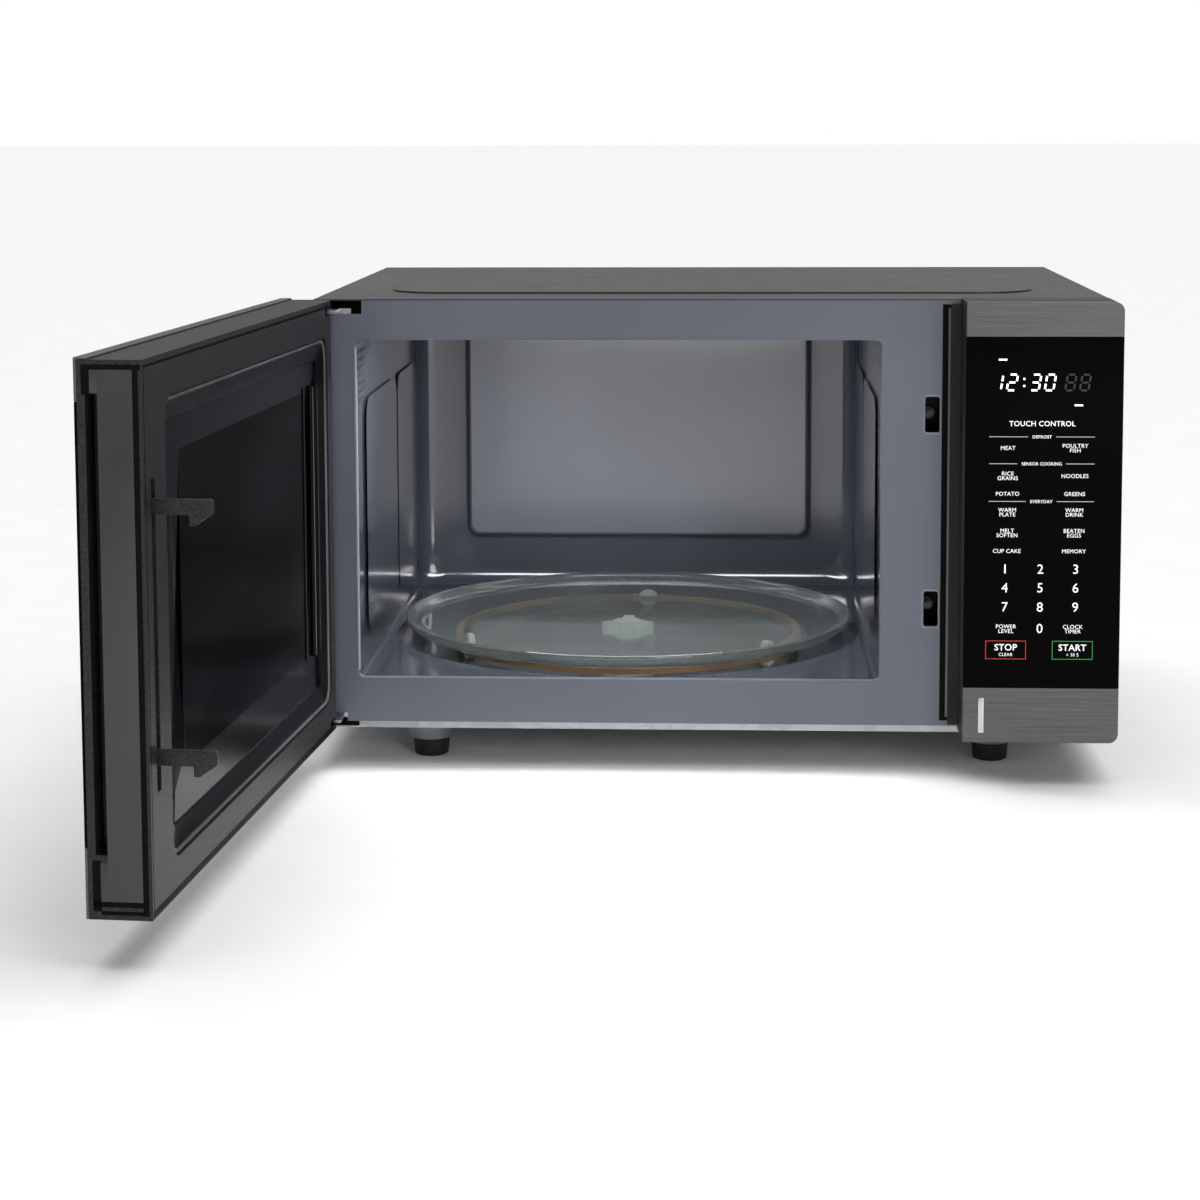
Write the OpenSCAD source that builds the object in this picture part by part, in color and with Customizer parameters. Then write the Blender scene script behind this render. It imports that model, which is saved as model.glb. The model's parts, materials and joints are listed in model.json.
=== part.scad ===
// Countertop microwave oven: cabinet, cavity, turntable drive, hinged door, touch panel and works.
// The model is laid out about the cabinet's centre line (x), the front plate's face (y) and the
// counter (z), and then shifted as a whole so that the origin is under the middle of its outline.

/* [Overall] */
// Width across the cabinet
body_w = 520; // [430:1:640]
// Height from the counter to the cabinet's top
body_h = 309; // [257:1:372]
// Depth from the control panel's face to the rear panel
body_d = 400; // [333:1:480]
// Angle at which the door stands open
door_open = 94; // [60:1:105]

/* [Cabinet] */
// Thickness of the folded cover and the rear panel
sheet_t = 1; // [0.8:0.1:1.4]
// Radius of the cover's folded edges
cover_r = 4; // [2:0.5:8]
// Height of the raised field in the cover's top
top_rise = 1; // [0.5:0.1:2]
// Width of the flat border beside the raised field
top_border = 43; // [30:1:60]
// Depth of the flat border in front of the raised field
top_front = 56; // [30:1:80]
// Height of the base plate over the counter
base_z = 25; // [20:1:30]
// Side of the front feet and rear feet from the middle
foot_x = 186.5; // [150:0.5:200]
// Setback of the feet from the front plate and the rear panel
foot_y = 35; // [25:1:60]
// Diameter of a foot where it meets the counter
foot_d = 22.5; // [18:0.5:30]
// Height of a foot
foot_h = 12.2; // [8:0.1:16]

/* [Cavity] */
// Thickness of the front plate
plate_t = 1.2; // [1:0.1:1.6]
// Width of the front plate left of the cavity
side_margin = 29.6; // [20:0.1:40]
// Width of the bay for the works, right of the cavity
bay_w = 149; // [140:1:180]
// Height of the cavity floor over the counter
cav_z0 = 58.6; // [54:0.1:70]
// Height between the cavity ceiling and the cabinet's top
cav_head = 27.4; // [22:0.1:40]
// Gap between the cavity's back frame and the rear panel
cav_rear = 13; // [11:0.5:30]
// Radius of the cavity mouth's corners
cav_r = 4; // [2:0.5:10]
// Thickness of the cavity's sheet
liner_t = 1; // [0.8:0.1:1.2]
// Height of the field stamped forwards in the cavity's back
back_step = 7; // [3:0.5:9]
// Width of the frame round that field
back_frame = 38; // [25:1:50]
// Height of the flat border above the field in the back
back_frame_top = 24; // [15:1:50]
// Depth of the round well in the floor
well_h = 12.6; // [11:0.1:16]

/* [Turntable] */
// Clearance between the glass tray and the cavity walls, both sides together
tray_gap = 21.4; // [14:0.1:40]
// Height of the tray's rim
tray_h = 11; // [8:0.5:16]
// Thickness of the tray's glass
tray_t = 5; // [4:0.5:6]
// Diameter of a roller wheel
wheel_d = 14; // [10:0.5:16]
// Width of a roller wheel
wheel_w = 6; // [4:0.5:8]
// Diameter of a roller ring's stub axle
axle_d = 4; // [3:0.1:5]
// Radial clearance of a part that turns on a pin or a shaft
fit = 0.06; // [0.02:0.01:0.1]

/* [Door] */
// Thickness of the door frame
door_t = 33; // [28:0.5:40]
// Gap between the closed door and the front plate
door_gap = 2.5; // [2:0.1:4]
// Distance of the hinge axis from the door's end and inner face
hinge_r = 8; // [7:0.1:10]
// Diameter of a hinge pin
pin_d = 5; // [4:0.1:6]
// Gap between the closed door's free end and the control panel
door_side_gap = 2; // [1:0.1:4]
// Width and height of the perforated window
win_w = 279; // [200:1:300]
// Height of the perforated window
win_h = 168; // [110:1:190]
// Reach of the latch hooks past the door's inner face
hook_len = 30.6; // [24:0.1:34]
// Thickness of a latch hook
hook_t = 4; // [3:0.1:5]
// Travel of the latch lever
latch_travel = 4; // [2:0.1:5]

/* [Control panel] */
// Width of the control panel
panel_w = 98.4; // [90:0.1:110]
// Depth of the panel in front of the front plate
panel_proud = 38; // [34:0.5:44]
// Height of the panel's and the door's top strip
strip_top = 22; // [15:0.5:30]
// Height of the panel's and the door's bottom strip
strip_bot = 35.5; // [25:0.5:45]
// Thickness of the panel's glass and strips
face_t = 1.5; // [1:0.1:2]
// Radius of the panel's outer corners
panel_r = 6; // [3:0.5:10]

/* [Hidden] */
$fn = 48;

// Small distances used throughout
eps = 0.01;
hair = 0.3;

// Cabinet and cavity, from the driving dimensions
cab_d = body_d - panel_proud;
half_w = body_w / 2;
rear_y = cab_d - sheet_t;
cav_x0 = -half_w + side_margin;
cav_x1 = half_w - bay_w;
cav_w = cav_x1 - cav_x0;
cav_z1 = body_h - cav_head;
cav_h = cav_z1 - cav_z0;
cav_d = rear_y - cav_rear;
cav_cx = (cav_x0 + cav_x1) / 2;
cav_cz = (cav_z0 + cav_z1) / 2;
plate_inset = 1.5;
plate_z0 = base_z + 4.5;
plate_z1 = body_h - sheet_t - 0.7;

// Turntable stack
tray_d = min(cav_w, cav_d) - tray_gap;
tray_y = cav_d / 2 - 2;
well_r = tray_d / 2 + 5;
well_z = cav_z0 - well_h;
wheel_z = well_z + hair + wheel_d / 2;
tray_z = wheel_z + wheel_d / 2 + hair;
wheel_r0 = min(121, tray_d / 2 - 30);
ring_w = 5;
ring_t = 4;
fork_l = wheel_d + 10;
shaft_d = 7;
coupler_z = well_z + hair + liner_t;
tray_hub_d = 44;

// Control panel
panel_x0 = half_w - panel_w;
panel_z0 = base_z + 2.8;
panel_face = -panel_proud;
panel_back = panel_face + face_t;
glass_z0 = panel_z0 + strip_bot;
glass_z1 = body_h - strip_top;
housing_t = 2;
board_t = 1.6;

// Door, laid out closed and turned about the hinge axis
hinge_x = -half_w + hinge_r;
hinge_y = -door_gap - hinge_r;
door_x1 = panel_x0 - door_side_gap;
door_in = -door_gap;
door_out = door_in - door_t;
door_face = door_out - face_t;
door_z0 = base_z + 1.8;
door_z1 = body_h - 1;
door_w = door_x1 + half_w;
choke_margin = 12;
choke_x0 = cav_x0 - choke_margin;
choke_x1 = cav_x1 + choke_margin - 1.5;
choke_z0 = cav_z0 - choke_margin;
choke_z1 = cav_z1 + choke_margin - 8;
choke_r = 12;
choke_step = 6;
tongue_t = 2;
tongue_top = door_z1 - 8;
tongue_bot = door_z0 + 5;
tongue_gap = 1.5;
hinge_pocket_r = 17;
pin_len = 14;
bracket_h = 36;
screw_d = 3.4;

// Latch: two hooks on one lever that slides upwards in the door
slot_w = 9.3;
slot_h = 23.2;
slot_pitch = 126.9;
slot_x = panel_x0 - 22.4;
slot_cz = cav_cz;
hook_x = slot_x + 2.8;
hook_head = 13.5;
hook_head_len = 12.3;
hook_stem = 8;
hook_tip = door_in + hook_len;
hook_clear = 2.1;
lever_t = 5;
lever_y = door_in - 9;
plunger_d = 5;
plunger_travel = 2.5;
switch_w = 10;

// Works in the bay
bay_x0 = cav_x1 + liner_t;
bay_x1 = half_w - sheet_t - 3;
bay_cx = (bay_x0 + bay_x1) / 2;
bushing_d = 16;
guide_y = 66;
guide_l = 90;
guide_d = 30;
guide_h = 60;
mag_w = 74;
mag_l = 88;
mag_h = 84;
mag_x = bay_x0 + guide_d + 3;
mag_z = base_z + 82;
fan_side = 112;
fan_depth = 28;
fan_bore = 100;
fan_z = base_z + 145;
fan_y = rear_y - fan_depth - 8;
fan_cx = bay_x1 - fan_side / 2 - 2;
inv_w = 92;
inv_l = 168;
inv_x = bay_cx - inv_w / 2 + 12;
inv_y = 60;
inv_z = base_z + 6;

// Outline of the whole, with the door at its angle, and the shift to its middle
open_min_x = hinge_x + (door_x1 - hinge_x) * cos(door_open) + (door_face - hinge_y) * sin(door_open);
open_min_y = hinge_y - (door_x1 - hinge_x) * sin(door_open) + hinge_r * cos(door_open);
shift_x = -(open_min_x + half_w) / 2;
shift_y = -(open_min_y + cab_d) / 2;

module placed() translate([shift_x, shift_y, 0]) children();

module on_door() placed() translate([hinge_x, hinge_y, 0]) rotate([0, 0, -door_open])
    translate([-hinge_x, -hinge_y, 0]) children();

// Middle of a latch slot, lower end of a hook's head, and middle of a switch plunger: s is 1 for the
// upper and -1 for the lower
function slot_mid(s) = slot_cz + s * slot_pitch / 2;
function latch_z(s) = slot_mid(s) - slot_h / 2 + hook_clear;
function plunger_z(s) = latch_z(s) + hook_head / 2;

// Places of the cover's screws in the rear panel, and of the hinge brackets' screws
module at_case_screws()
    for (x = [-half_w + 14, -half_w / 3, half_w / 3, half_w - 14], z = [base_z + 12, body_h - 14])
        translate([x, rear_y, z]) children();
module at_bracket_screws()
    for (z = [tongue_top - 14, tongue_top - 28, tongue_bot + 16, tongue_bot + 30])
        translate([hinge_x + 4, plate_t + tongue_t, z]) children();

// Turn of a roller wheel's axle round the ring
function wheel_turn(i) = -35 + i * 120;

// Flat outline with round corners, from its lower left corner
module rounded(w, h, r = 0) {
    if (r > 0) {
        translate([r, 0]) square([w - 2 * r, h]);
        translate([0, r]) square([w, h - 2 * r]);
        for (x = [r, w - r], y = [r, h - r]) translate([x, y]) circle(r);
    } else square([w, h]);
}

// Sheet that stands across the depth: x0 to x1, z0 to z1, from y0 backwards by t
module wall_y(x0, x1, z0, z1, y0, t, r = 0)
    translate([x0, y0 + t, z0]) rotate([90, 0, 0]) linear_extrude(t) rounded(x1 - x0, z1 - z0, r);

// Sheet that stands across the width: y0 to y1, z0 to z1, from x0 rightwards by t
module wall_x(y0, y1, z0, z1, x0, t, r = 0)
    translate([x0, y0, z0]) rotate([90, 0, 90]) linear_extrude(t) rounded(y1 - y0, z1 - z0, r);

// Sheet that lies flat: x0 to x1, y0 to y1, from z0 upwards by t
module wall_z(x0, x1, y0, y1, z0, t, r = 0)
    translate([x0, y0, z0]) linear_extrude(t) rounded(x1 - x0, y1 - y0, r);

// Box from one corner to the other
module block(a, b) translate(a) cube(b - a);

// Cylinder along y, from y0 backwards
module rod_y(x, y0, z, d, len) translate([x, y0 + len, z]) rotate([90, 0, 0]) cylinder(d = d, h = len);

// Cylinder along x, from x0 rightwards
module rod_x(x0, y, z, d, len) translate([x0, y, z]) rotate([0, 90, 0]) cylinder(d = d, h = len);

// Grid of round holes through a wall across x
module holes_x(x0, y0, z0, nx, nz, pitch, d, len)
    for (i = [0:nx - 1], k = [0:nz - 1]) rod_x(x0, y0 + i * pitch, z0 + k * pitch, d, len);

// Grid of round holes through a wall across y
module holes_y(x0, y0, z0, nx, nz, pitch, d, len)
    for (i = [0:nx - 1], k = [0:nz - 1]) rod_y(x0 + i * pitch, y0, z0 + k * pitch, d, len);

// Places of the four feet
module at_feet() for (x = [-foot_x, foot_x], y = [foot_y, cab_d - foot_y]) translate([x, y, 0]) children();

// ---- Cabinet ----

module cabinet_cover() color("#58595c") placed() difference() {
    union() {
        wall_y(-half_w, half_w, 0, body_h - top_rise, plate_inset, cab_d - plate_inset, cover_r);
        top_field(0, top_rise);
    }
    wall_y(-half_w + sheet_t, half_w - sheet_t, -10, body_h - top_rise - sheet_t, 0, cab_d + 1,
        cover_r - sheet_t);
    top_field(-sheet_t, top_rise);
    block([-half_w - 1, 0, -1], [half_w + 1, cab_d + 1, base_z]);
    for (x = [-half_w - 1, half_w - 4], k = [0:8]) translate([x, cab_d - 150, base_z + 40 + k * 9])
        cube([5, 90, 3.5]);
    holes_x(half_w - 5, 40, body_h - 60, 8, 3, 9, 4, 10);
}

// The raised field in the top: its outline shrinks by as much as it is moved down
module top_field(drop, rise)
    wall_z(-half_w + top_border - drop, half_w - top_border + drop, top_front - drop, cab_d - 30 + drop,
        body_h - top_rise + drop - eps, rise + eps, 40 + drop);

module rear_panel() color("#8d9092") placed() difference() {
    wall_y(-half_w + sheet_t, half_w - sheet_t, base_z + 2, body_h - top_rise - sheet_t, rear_y, sheet_t,
        cover_r - sheet_t);
    holes_y(fan_cx - 40, rear_y - 1, fan_z - 40, 9, 9, 10, 5.5, 4);
    holes_y(-half_w + 30, rear_y - 1, body_h - 70, 10, 4, 9, 5, 4);
    rod_y(bay_cx, rear_y - 1, base_z + 34, bushing_d, 4);
    at_case_screws() rod_y(0, -1, 0, screw_d, 4);
}

module base_plate() color("#b4b8ba") placed() difference() {
    union() {
        wall_z(-half_w + sheet_t, half_w - sheet_t, plate_t + 0.3, rear_y, base_z, sheet_t);
        wall_y(cav_x0, half_w - sheet_t - 1, base_z, plate_z0 + 6, plate_t + 0.3, sheet_t);
        wall_y(-half_w + sheet_t + 1, half_w - sheet_t - 1, base_z, base_z + 14, rear_y - sheet_t, sheet_t);
        at_feet() translate([0, 0, foot_h]) cylinder(r1 = foot_d / 2 + 3, r2 = foot_d / 2 + 9,
            h = base_z - foot_h + eps);
    }
    at_case_screws() rod_y(0, -6, 0, screw_d, 10);
    at_feet() translate([0, 0, foot_h + sheet_t]) cylinder(r1 = foot_d / 2 + 2, r2 = foot_d / 2 + 8,
        h = base_z - foot_h + eps);
    translate([cav_cx, tray_y, base_z - 1]) cylinder(d = 30, h = 3);
    for (i = [0:7]) translate([bay_x0 + 20 + i * 12, cab_d - 120, base_z - 1]) cube([5, 60, 3]);
}

module feet() color("#19191b") placed() at_feet() rotate_extrude() polygon([
    [0, 0], [foot_d / 2 - 1, 0], [foot_d / 2, 1], [foot_d / 2 + 1, foot_h], [3, foot_h],
    [3, 4], [0, 4]
]);

// ---- Front plate and cavity ----

module slot_pair() for (s = [-1, 1]) translate([slot_x, 0, slot_mid(s) - slot_h / 2]) children();

module front_plate() color("#676b78") placed() difference() {
    wall_y(-half_w + plate_inset, half_w - plate_inset, plate_z0, plate_z1, 0, plate_t, 1);
    wall_y(cav_x0, cav_x1, cav_z0, cav_z1, -1, plate_t + 2, cav_r);
    slot_pair() translate([0, plate_t + 1, 0]) rotate([90, 0, 0]) linear_extrude(plate_t + 2)
        rounded(slot_w, slot_h, 2);
    block([-half_w, -1, tongue_top - tongue_gap], [cav_x0 + 5, 3, body_h]);
    block([-half_w, -1, 0], [hinge_x + 14, 3, tongue_bot + tongue_t + tongue_gap]);
    wall_y(panel_x0 + 10, half_w - 12, panel_z0 + 30, plate_z1 - 30, -1, plate_t + 2, 4);
    at_bracket_screws() rod_y(0, -6, 0, screw_d, 6);
}

module cavity_liner() color("#6f7380") placed() difference() {
    union() {
        difference() {
            wall_y(cav_x0 - liner_t, cav_x1 + liner_t, cav_z0 - liner_t, cav_z1 + liner_t, plate_t,
                cav_d - plate_t, cav_r + liner_t);
            wall_y(cav_x0, cav_x1, cav_z0, cav_z1, 0, cav_d + 1, cav_r);
        }
        translate([cav_cx, tray_y, well_z - liner_t]) cylinder(r = well_r + liner_t, h = well_h, $fn = 96);
    }
    translate([cav_cx, tray_y, well_z]) cylinder(r = well_r, h = well_h + 5, $fn = 96);
    translate([cav_cx, tray_y, well_z - 5]) cylinder(d = 14, h = 10);
    holes_x(cav_x0 - 3, 12, cav_z1 - 42, 7, 7, 5.5, 3.4, 5);
    holes_x(cav_x1 - 1, 14, cav_z1 - 88, 4, 14, 5.5, 3.4, 5);
    block([cav_x1 - 1, guide_y + 8, mag_z + 14], [cav_x1 + 3, guide_y + guide_l - 8, mag_z + 50]);
}

module cavity_back() color("#8a8e99") placed() difference() {
    union() {
        wall_y(cav_x0 - liner_t, cav_x1 + liner_t, cav_z0 - liner_t, cav_z1 + liner_t, cav_d, liner_t,
            cav_r + liner_t);
        back_field(0, back_step + liner_t);
    }
    back_field(liner_t, back_step + liner_t + 1);
}

// The field in the back, smaller all round by the inset and moved back by it
module back_field(inset, depth)
    wall_y(cav_x0 + back_frame + inset, cav_x1 - back_frame - inset, cav_z0 + back_frame + inset,
        cav_z1 - back_frame_top - inset, cav_d - back_step + inset, depth, 6);

module waveguide_cover() color("#b9b29a") placed()
    wall_x(guide_y + 4, guide_y + guide_l - 4, mag_z + 10, mag_z + 54, cav_x1 - 0.8, 0.8, 3);

module exhaust_duct() color("#9c9fa2") placed() difference() {
    block([-half_w + sheet_t + 2, 6, cav_z1 - 50], [cav_x0 - liner_t, 56, cav_z1]);
    block([-half_w + sheet_t + 3.5, 8, cav_z1 - 48], [cav_x0 - liner_t + 1, 54, cav_z1 - 2]);
    rod_y(-half_w + 14, 50, cav_z1 - 25, 12 + 2 * fit, 20);
}

module humidity_sensor() color("#c8c8c4") placed() {
    rod_y(-half_w + 14, 50, cav_z1 - 25, 12, 16);
    rod_y(-half_w + 14, 56, cav_z1 - 25, 17, 3);
}

module cavity_thermostat() color("#d8d3c4") placed() translate([cav_cx, tray_y, cav_z1 + liner_t]) {
    cylinder(d = 24, h = 1.2);
    cylinder(d = 16, h = 9);
    for (x = [-4, 4]) translate([x - 0.4, -3, 8]) cube([0.8, 6, 7]);
}

// ---- Microwave source ----

module waveguide() color("#a9adb0") placed() difference() {
    block([bay_x0, guide_y, mag_z + 8], [bay_x0 + guide_d, guide_y + guide_l, mag_z + 8 + guide_h]);
    block([bay_x0 - 1, guide_y + 1.2, mag_z + 9.2],
        [bay_x0 + guide_d - 1.2, guide_y + guide_l - 1.2, mag_z + 6.8 + guide_h]);
    rod_x(bay_x0 + guide_d - 3, guide_y + guide_l / 2, mag_z + 42, 20, 6);
}

module magnetron() color("#9a9da0") placed() translate([mag_x, guide_y, mag_z]) difference() {
    union() {
        cube([2, mag_l, mag_h]);
        translate([mag_w - 2, 0, 0]) cube([2, mag_l, mag_h]);
        translate([0, mag_l - 2, 0]) cube([mag_w, 2, mag_h]);
        for (i = [0:8]) translate([12 + i * 6, 8, 4]) cube([1, mag_l - 8, mag_h - 8]);
        rod_x(1, mag_l / 2, mag_h / 2, 40, mag_w - 2);
        rod_x(-10, mag_l / 2, mag_h / 2, 14, 12);
        rod_x(-3 + eps, mag_l / 2, mag_h / 2, 19, 4);
        translate([20, -6, mag_h / 2 - 16]) cube([34, 14.5, 32]);
    }
    translate([30, -10, mag_h / 2 - 12]) cube([14, 14, 24]);
}

module magnetron_thermostat() color("#d8d3c4") placed() translate([mag_x + 30, guide_y + mag_l, mag_z + 60]) {
    rotate([-90, 0, 0]) cylinder(d = 22, h = 1);
    rotate([-90, 0, 0]) cylinder(d = 15, h = 8);
}

module inverter_tray() color("#d9d9d2") placed() difference() {
    block([inv_x - 3, inv_y - 3, base_z + sheet_t], [inv_x + inv_w + 3, inv_y + inv_l + 3, inv_z + 10]);
    block([inv_x - 1, inv_y - 1, inv_z - 2], [inv_x + inv_w + 1, inv_y + inv_l + 1, inv_z + 12]);
}

module inverter_board() color("#2f6b46") placed() {
    wall_z(inv_x, inv_x + inv_w, inv_y, inv_y + inv_l, inv_z, board_t, 2);
    for (x = [8, inv_w - 8], y = [8, inv_l - 8])
        translate([inv_x + x, inv_y + y, inv_z - 2]) cylinder(d = 6, h = 2.5);
    for (i = [0:3]) translate([inv_x + 14 + i * 16, inv_y + 18, inv_z + 1]) cylinder(d = 12, h = 20);
    translate([inv_x + 10, inv_y + 34, inv_z + 1]) cube([26, 14, 22]);
}

module inverter_transformer() color("#2b2b2d") placed()
translate([inv_x + 12, inv_y + 100, inv_z + board_t]) {
    difference() {
        cube([66, 46, 34]);
        translate([12, -1, 9]) cube([42, 48, 16]);
    }
    translate([33, 3, 17]) rotate([-90, 0, 0]) cylinder(d = 17, h = 40);
}

module heat_sink() color("#c3c6c8") placed() translate([inv_x + 50, inv_y + 34, inv_z + board_t]) {
    cube([36, 54, 3]);
    for (i = [0:7]) translate([i * 4.8, 0, 2.5]) cube([1.4, 54, 26]);
}

module noise_filter() color("#3a6d52") placed() translate([bay_cx - 34, 175, body_h - 40]) {
    cube([72, 64, board_t]);
    translate([8, 12, -16]) cube([24, 20, 17]);
    translate([40, 14, -13]) cylinder(d = 18, h = 14);
    for (x = [2, 60]) translate([x, 2, board_t - eps]) cube([10, 60, 33 - board_t]);
}

module mains_fuse() color("#e6e2d6") placed() translate([bay_cx + 21, 182, body_h - 40 - 3.4])
    rotate([-90, 0, 0]) cylinder(d = 6.4, h = 32);

// ---- Cooling ----

module fan_shroud() color("#d4d4ce") placed() difference() {
    union() {
        difference() {
            wall_y(fan_cx - fan_side / 2, fan_cx + fan_side / 2, fan_z - fan_side / 2, fan_z + fan_side / 2,
                fan_y, fan_depth, 8);
            rod_y(fan_cx, fan_y - 1, fan_z, fan_bore, fan_depth + 2);
        }
        for (a = [30, 150, 270]) translate([fan_cx, fan_y + fan_depth - 3, fan_z]) rotate([0, a, 0])
            translate([15, 0, -3]) cube([fan_bore / 2 - 12, 3, 6]);
        rod_y(fan_cx, fan_y + fan_depth - 3, fan_z, 44, 3);
    }
    rod_y(fan_cx, fan_y, fan_z, 8, fan_depth + 2);
}

module fan_motor() color("#6d6f72") placed() difference() {
    union() {
        rod_y(fan_cx, fan_y + 12, fan_z, 38, fan_depth - 15);
        rod_y(fan_cx, fan_y - 2, fan_z, 4, 16);
    }
    rod_y(fan_cx, fan_y + fan_depth - 4.5, fan_z, 10, 3);
}

module fan_blades() color("#e9e9e4") placed() translate([fan_cx, fan_y, fan_z]) difference() {
    union() {
        rod_y(0, -6, 0, 30, 14);
        for (i = [0:6]) rotate([0, i * 360 / 7, 0]) translate([14, 1, 0]) rotate([35, 0, 0])
            translate([0, -1, -11]) cube([fan_bore / 2 - 19, 1.8, 22]);
    }
    rod_y(0, -7, 0, 4 + 2 * fit, 20);
}

module air_duct() color("#cfcfc8") placed() difference() {
    block([mag_x - 2, guide_y + mag_l + 12, mag_z + 4], [bay_x1 - 1, fan_y - 8, mag_z + 84]);
    block([mag_x, guide_y + mag_l + 10, mag_z + 6], [bay_x1 - 3, fan_y - 6, mag_z + 82]);
}

// ---- Lamp, latch switches, turntable drive ----

module lamp_housing() color("#e4e0d2") placed() translate([bay_x0, 262, cav_z1 - 40]) difference() {
    cube([26, 34, 34]);
    translate([-1, 2, 2]) cube([22, 30, 30]);
    translate([18, 17, 17]) rotate([0, 90, 0]) cylinder(d = 14, h = 12);
}

module lamp_bulb() color("#f6edd0") placed() translate([bay_x0 + 8.5, 279, cav_z1 - 23]) {
    rotate([0, 90, 0]) cylinder(d = 13.9, h = 22);
    sphere(d = 13.9);
}

module latch_switch_holder() color("#2c2d30") placed() difference() {
    union() {
        for (s = [-1, 1]) block([slot_x - 6, plate_t, slot_mid(s) - slot_h / 2 - 10],
            [slot_x + slot_w + 6, 46, slot_mid(s) + slot_h / 2 + 10]);
        block([slot_x - 6, plate_t, slot_mid(-1)], [slot_x - 2, 46, slot_mid(1)]);
    }
    for (s = [-1, 1]) {
        block([slot_x - 2, 0, slot_mid(s) - slot_h / 2 - 2],
            [slot_x + slot_w + 2, 40, slot_mid(s) + slot_h / 2 + 2]);
        rod_y(hook_x + hook_t / 2, 30, plunger_z(s), plunger_d + 2 * fit, 20);
    }
}

module door_switches() color("#1d1e21") placed() {
    for (s = [-1, 1])
        translate([hook_x + hook_t / 2 - switch_w / 2, 52 + plunger_travel + hair, plunger_z(s) - 10])
        difference() {
            cube([switch_w, 9, 26]);
            translate([-1, 5, 3]) rotate([0, 90, 0]) cylinder(d = 3, h = switch_w + 2);
        }
    translate([hook_x + hook_t / 2 - switch_w / 2, 52 + plunger_travel + hair, slot_cz - 13])
        cube([switch_w, 9, 26]);
    translate([hook_x + hook_t / 2 - 2, 59, plunger_z(-1) - 14])
        cube([4, 2.3, plunger_z(1) - plunger_z(-1) + 30]);
}

module switch_plunger(s) color("#d6d2c4") placed() {
    rod_y(hook_x + hook_t / 2, hook_tip + hair, plunger_z(s), plunger_d, 52 - hook_tip - hair);
    rod_y(hook_x + hook_t / 2, 34.8, plunger_z(s), plunger_d + 3, 2);
}

module switch_plunger_upper() switch_plunger(1);
module switch_plunger_lower() switch_plunger(-1);

module turntable_motor() color("#b9bcbe") placed() translate([cav_cx, tray_y, 0]) {
    translate([0, 0, well_z - liner_t - 16]) cylinder(d = 50, h = 16);
    translate([0, 0, well_z - liner_t - 1]) cylinder(d = 10, h = 4);
    for (s = [-1, 1]) translate([s * 29, 0, well_z - liner_t - 2]) cylinder(d = 10, h = 2);
    translate([-30, -3, well_z - liner_t - 2]) cube([60, 6, 2]);
    intersection() {
        translate([0, 0, well_z]) cylinder(d = shaft_d, h = 11);
        translate([-shaft_d / 2, -2.5, well_z]) cube([shaft_d, 5, 12]);
    }
}

module turntable_coupler() color("#dfe3e4") placed() translate([cav_cx, tray_y, 0]) difference() {
    union() {
        translate([0, 0, coupler_z + 2.5]) cylinder(d = 20, h = tray_z - hair - coupler_z - 2.5);
        for (i = [0:2]) rotate([0, 0, 90 + i * 120]) translate([0, -4, coupler_z + 5])
            cube([19, 8, tray_z - hair - coupler_z - 5]);
    }
    translate([0, 0, coupler_z]) cylinder(d = shaft_d + 2 * fit, h = 10.5);
}

// Fork that holds one roller wheel: two cheeks along the ring, joined at both ends
module wheel_fork() {
    for (x = [wheel_r0 - wheel_w / 2 - 3, wheel_r0 + wheel_w / 2 + 1])
        translate([x, -fork_l / 2, -ring_t / 2]) cube([2, fork_l, ring_t]);
    for (y = [-fork_l / 2, fork_l / 2 - 3])
        translate([wheel_r0 - wheel_w / 2 - 3, y, -ring_t / 2]) cube([wheel_w + 6, 3, ring_t]);
    rod_x(wheel_r0 - wheel_w / 2 - 2, 0, 0, axle_d, wheel_w + 4);
}

module roller_ring() color("#b08a6a") placed() translate([cav_cx, tray_y, wheel_z]) {
    difference() {
        translate([0, 0, -ring_t / 2]) cylinder(r = wheel_r0 + ring_w / 2, h = ring_t, $fn = 96);
        translate([0, 0, -ring_t]) cylinder(r = wheel_r0 - ring_w / 2, h = 2 * ring_t, $fn = 96);
        for (i = [0:2]) rotate([0, 0, wheel_turn(i)])
            translate([wheel_r0, 0, 0]) cube([4 * ring_w, fork_l - 2, 3 * ring_t], center = true);
    }
    for (i = [0:2]) rotate([0, 0, wheel_turn(i)]) wheel_fork();
}

module roller_wheel(i) color("#f1f1ee") placed() translate([cav_cx, tray_y, wheel_z]) rotate([0, 0,
        wheel_turn(i)])
    translate([wheel_r0 - wheel_w / 2, 0, 0]) rotate([0, 90, 0]) difference() {
        cylinder(d = wheel_d, h = wheel_w);
        translate([0, 0, -1]) cylinder(d = axle_d + 2 * fit, h = wheel_w + 2);
    }

module roller_wheel_1() roller_wheel(0);
module roller_wheel_2() roller_wheel(1);
module roller_wheel_3() roller_wheel(2);

module turntable_glass() color("#b7cfc6", 0.6) placed() translate([cav_cx, tray_y, tray_z]) {
    rotate_extrude($fn = 144) polygon([
        [0, 0], [tray_d / 2 - 12, 0], [tray_d / 2 - 3, 2], [tray_d / 2, tray_h - 2],
        [tray_d / 2 - 0.8, tray_h], [tray_d / 2 - 3.6, tray_h], [tray_d / 2 - 5.5, tray_t + 1.2],
        [tray_d / 2 - 13, tray_t], [0, tray_t]
    ]);
}

// ---- Control panel ----

module panel_outline(x0, x1, z0, z1, y0, t, r) {
    difference() {
        wall_y(x0 - 2 * r, x1, z0, z1, y0, t, r);
        block([x0 - 3 * r, y0 - 1, z0 - 1], [x0, y0 + t + 1, z1 + 1]);
    }
}

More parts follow.
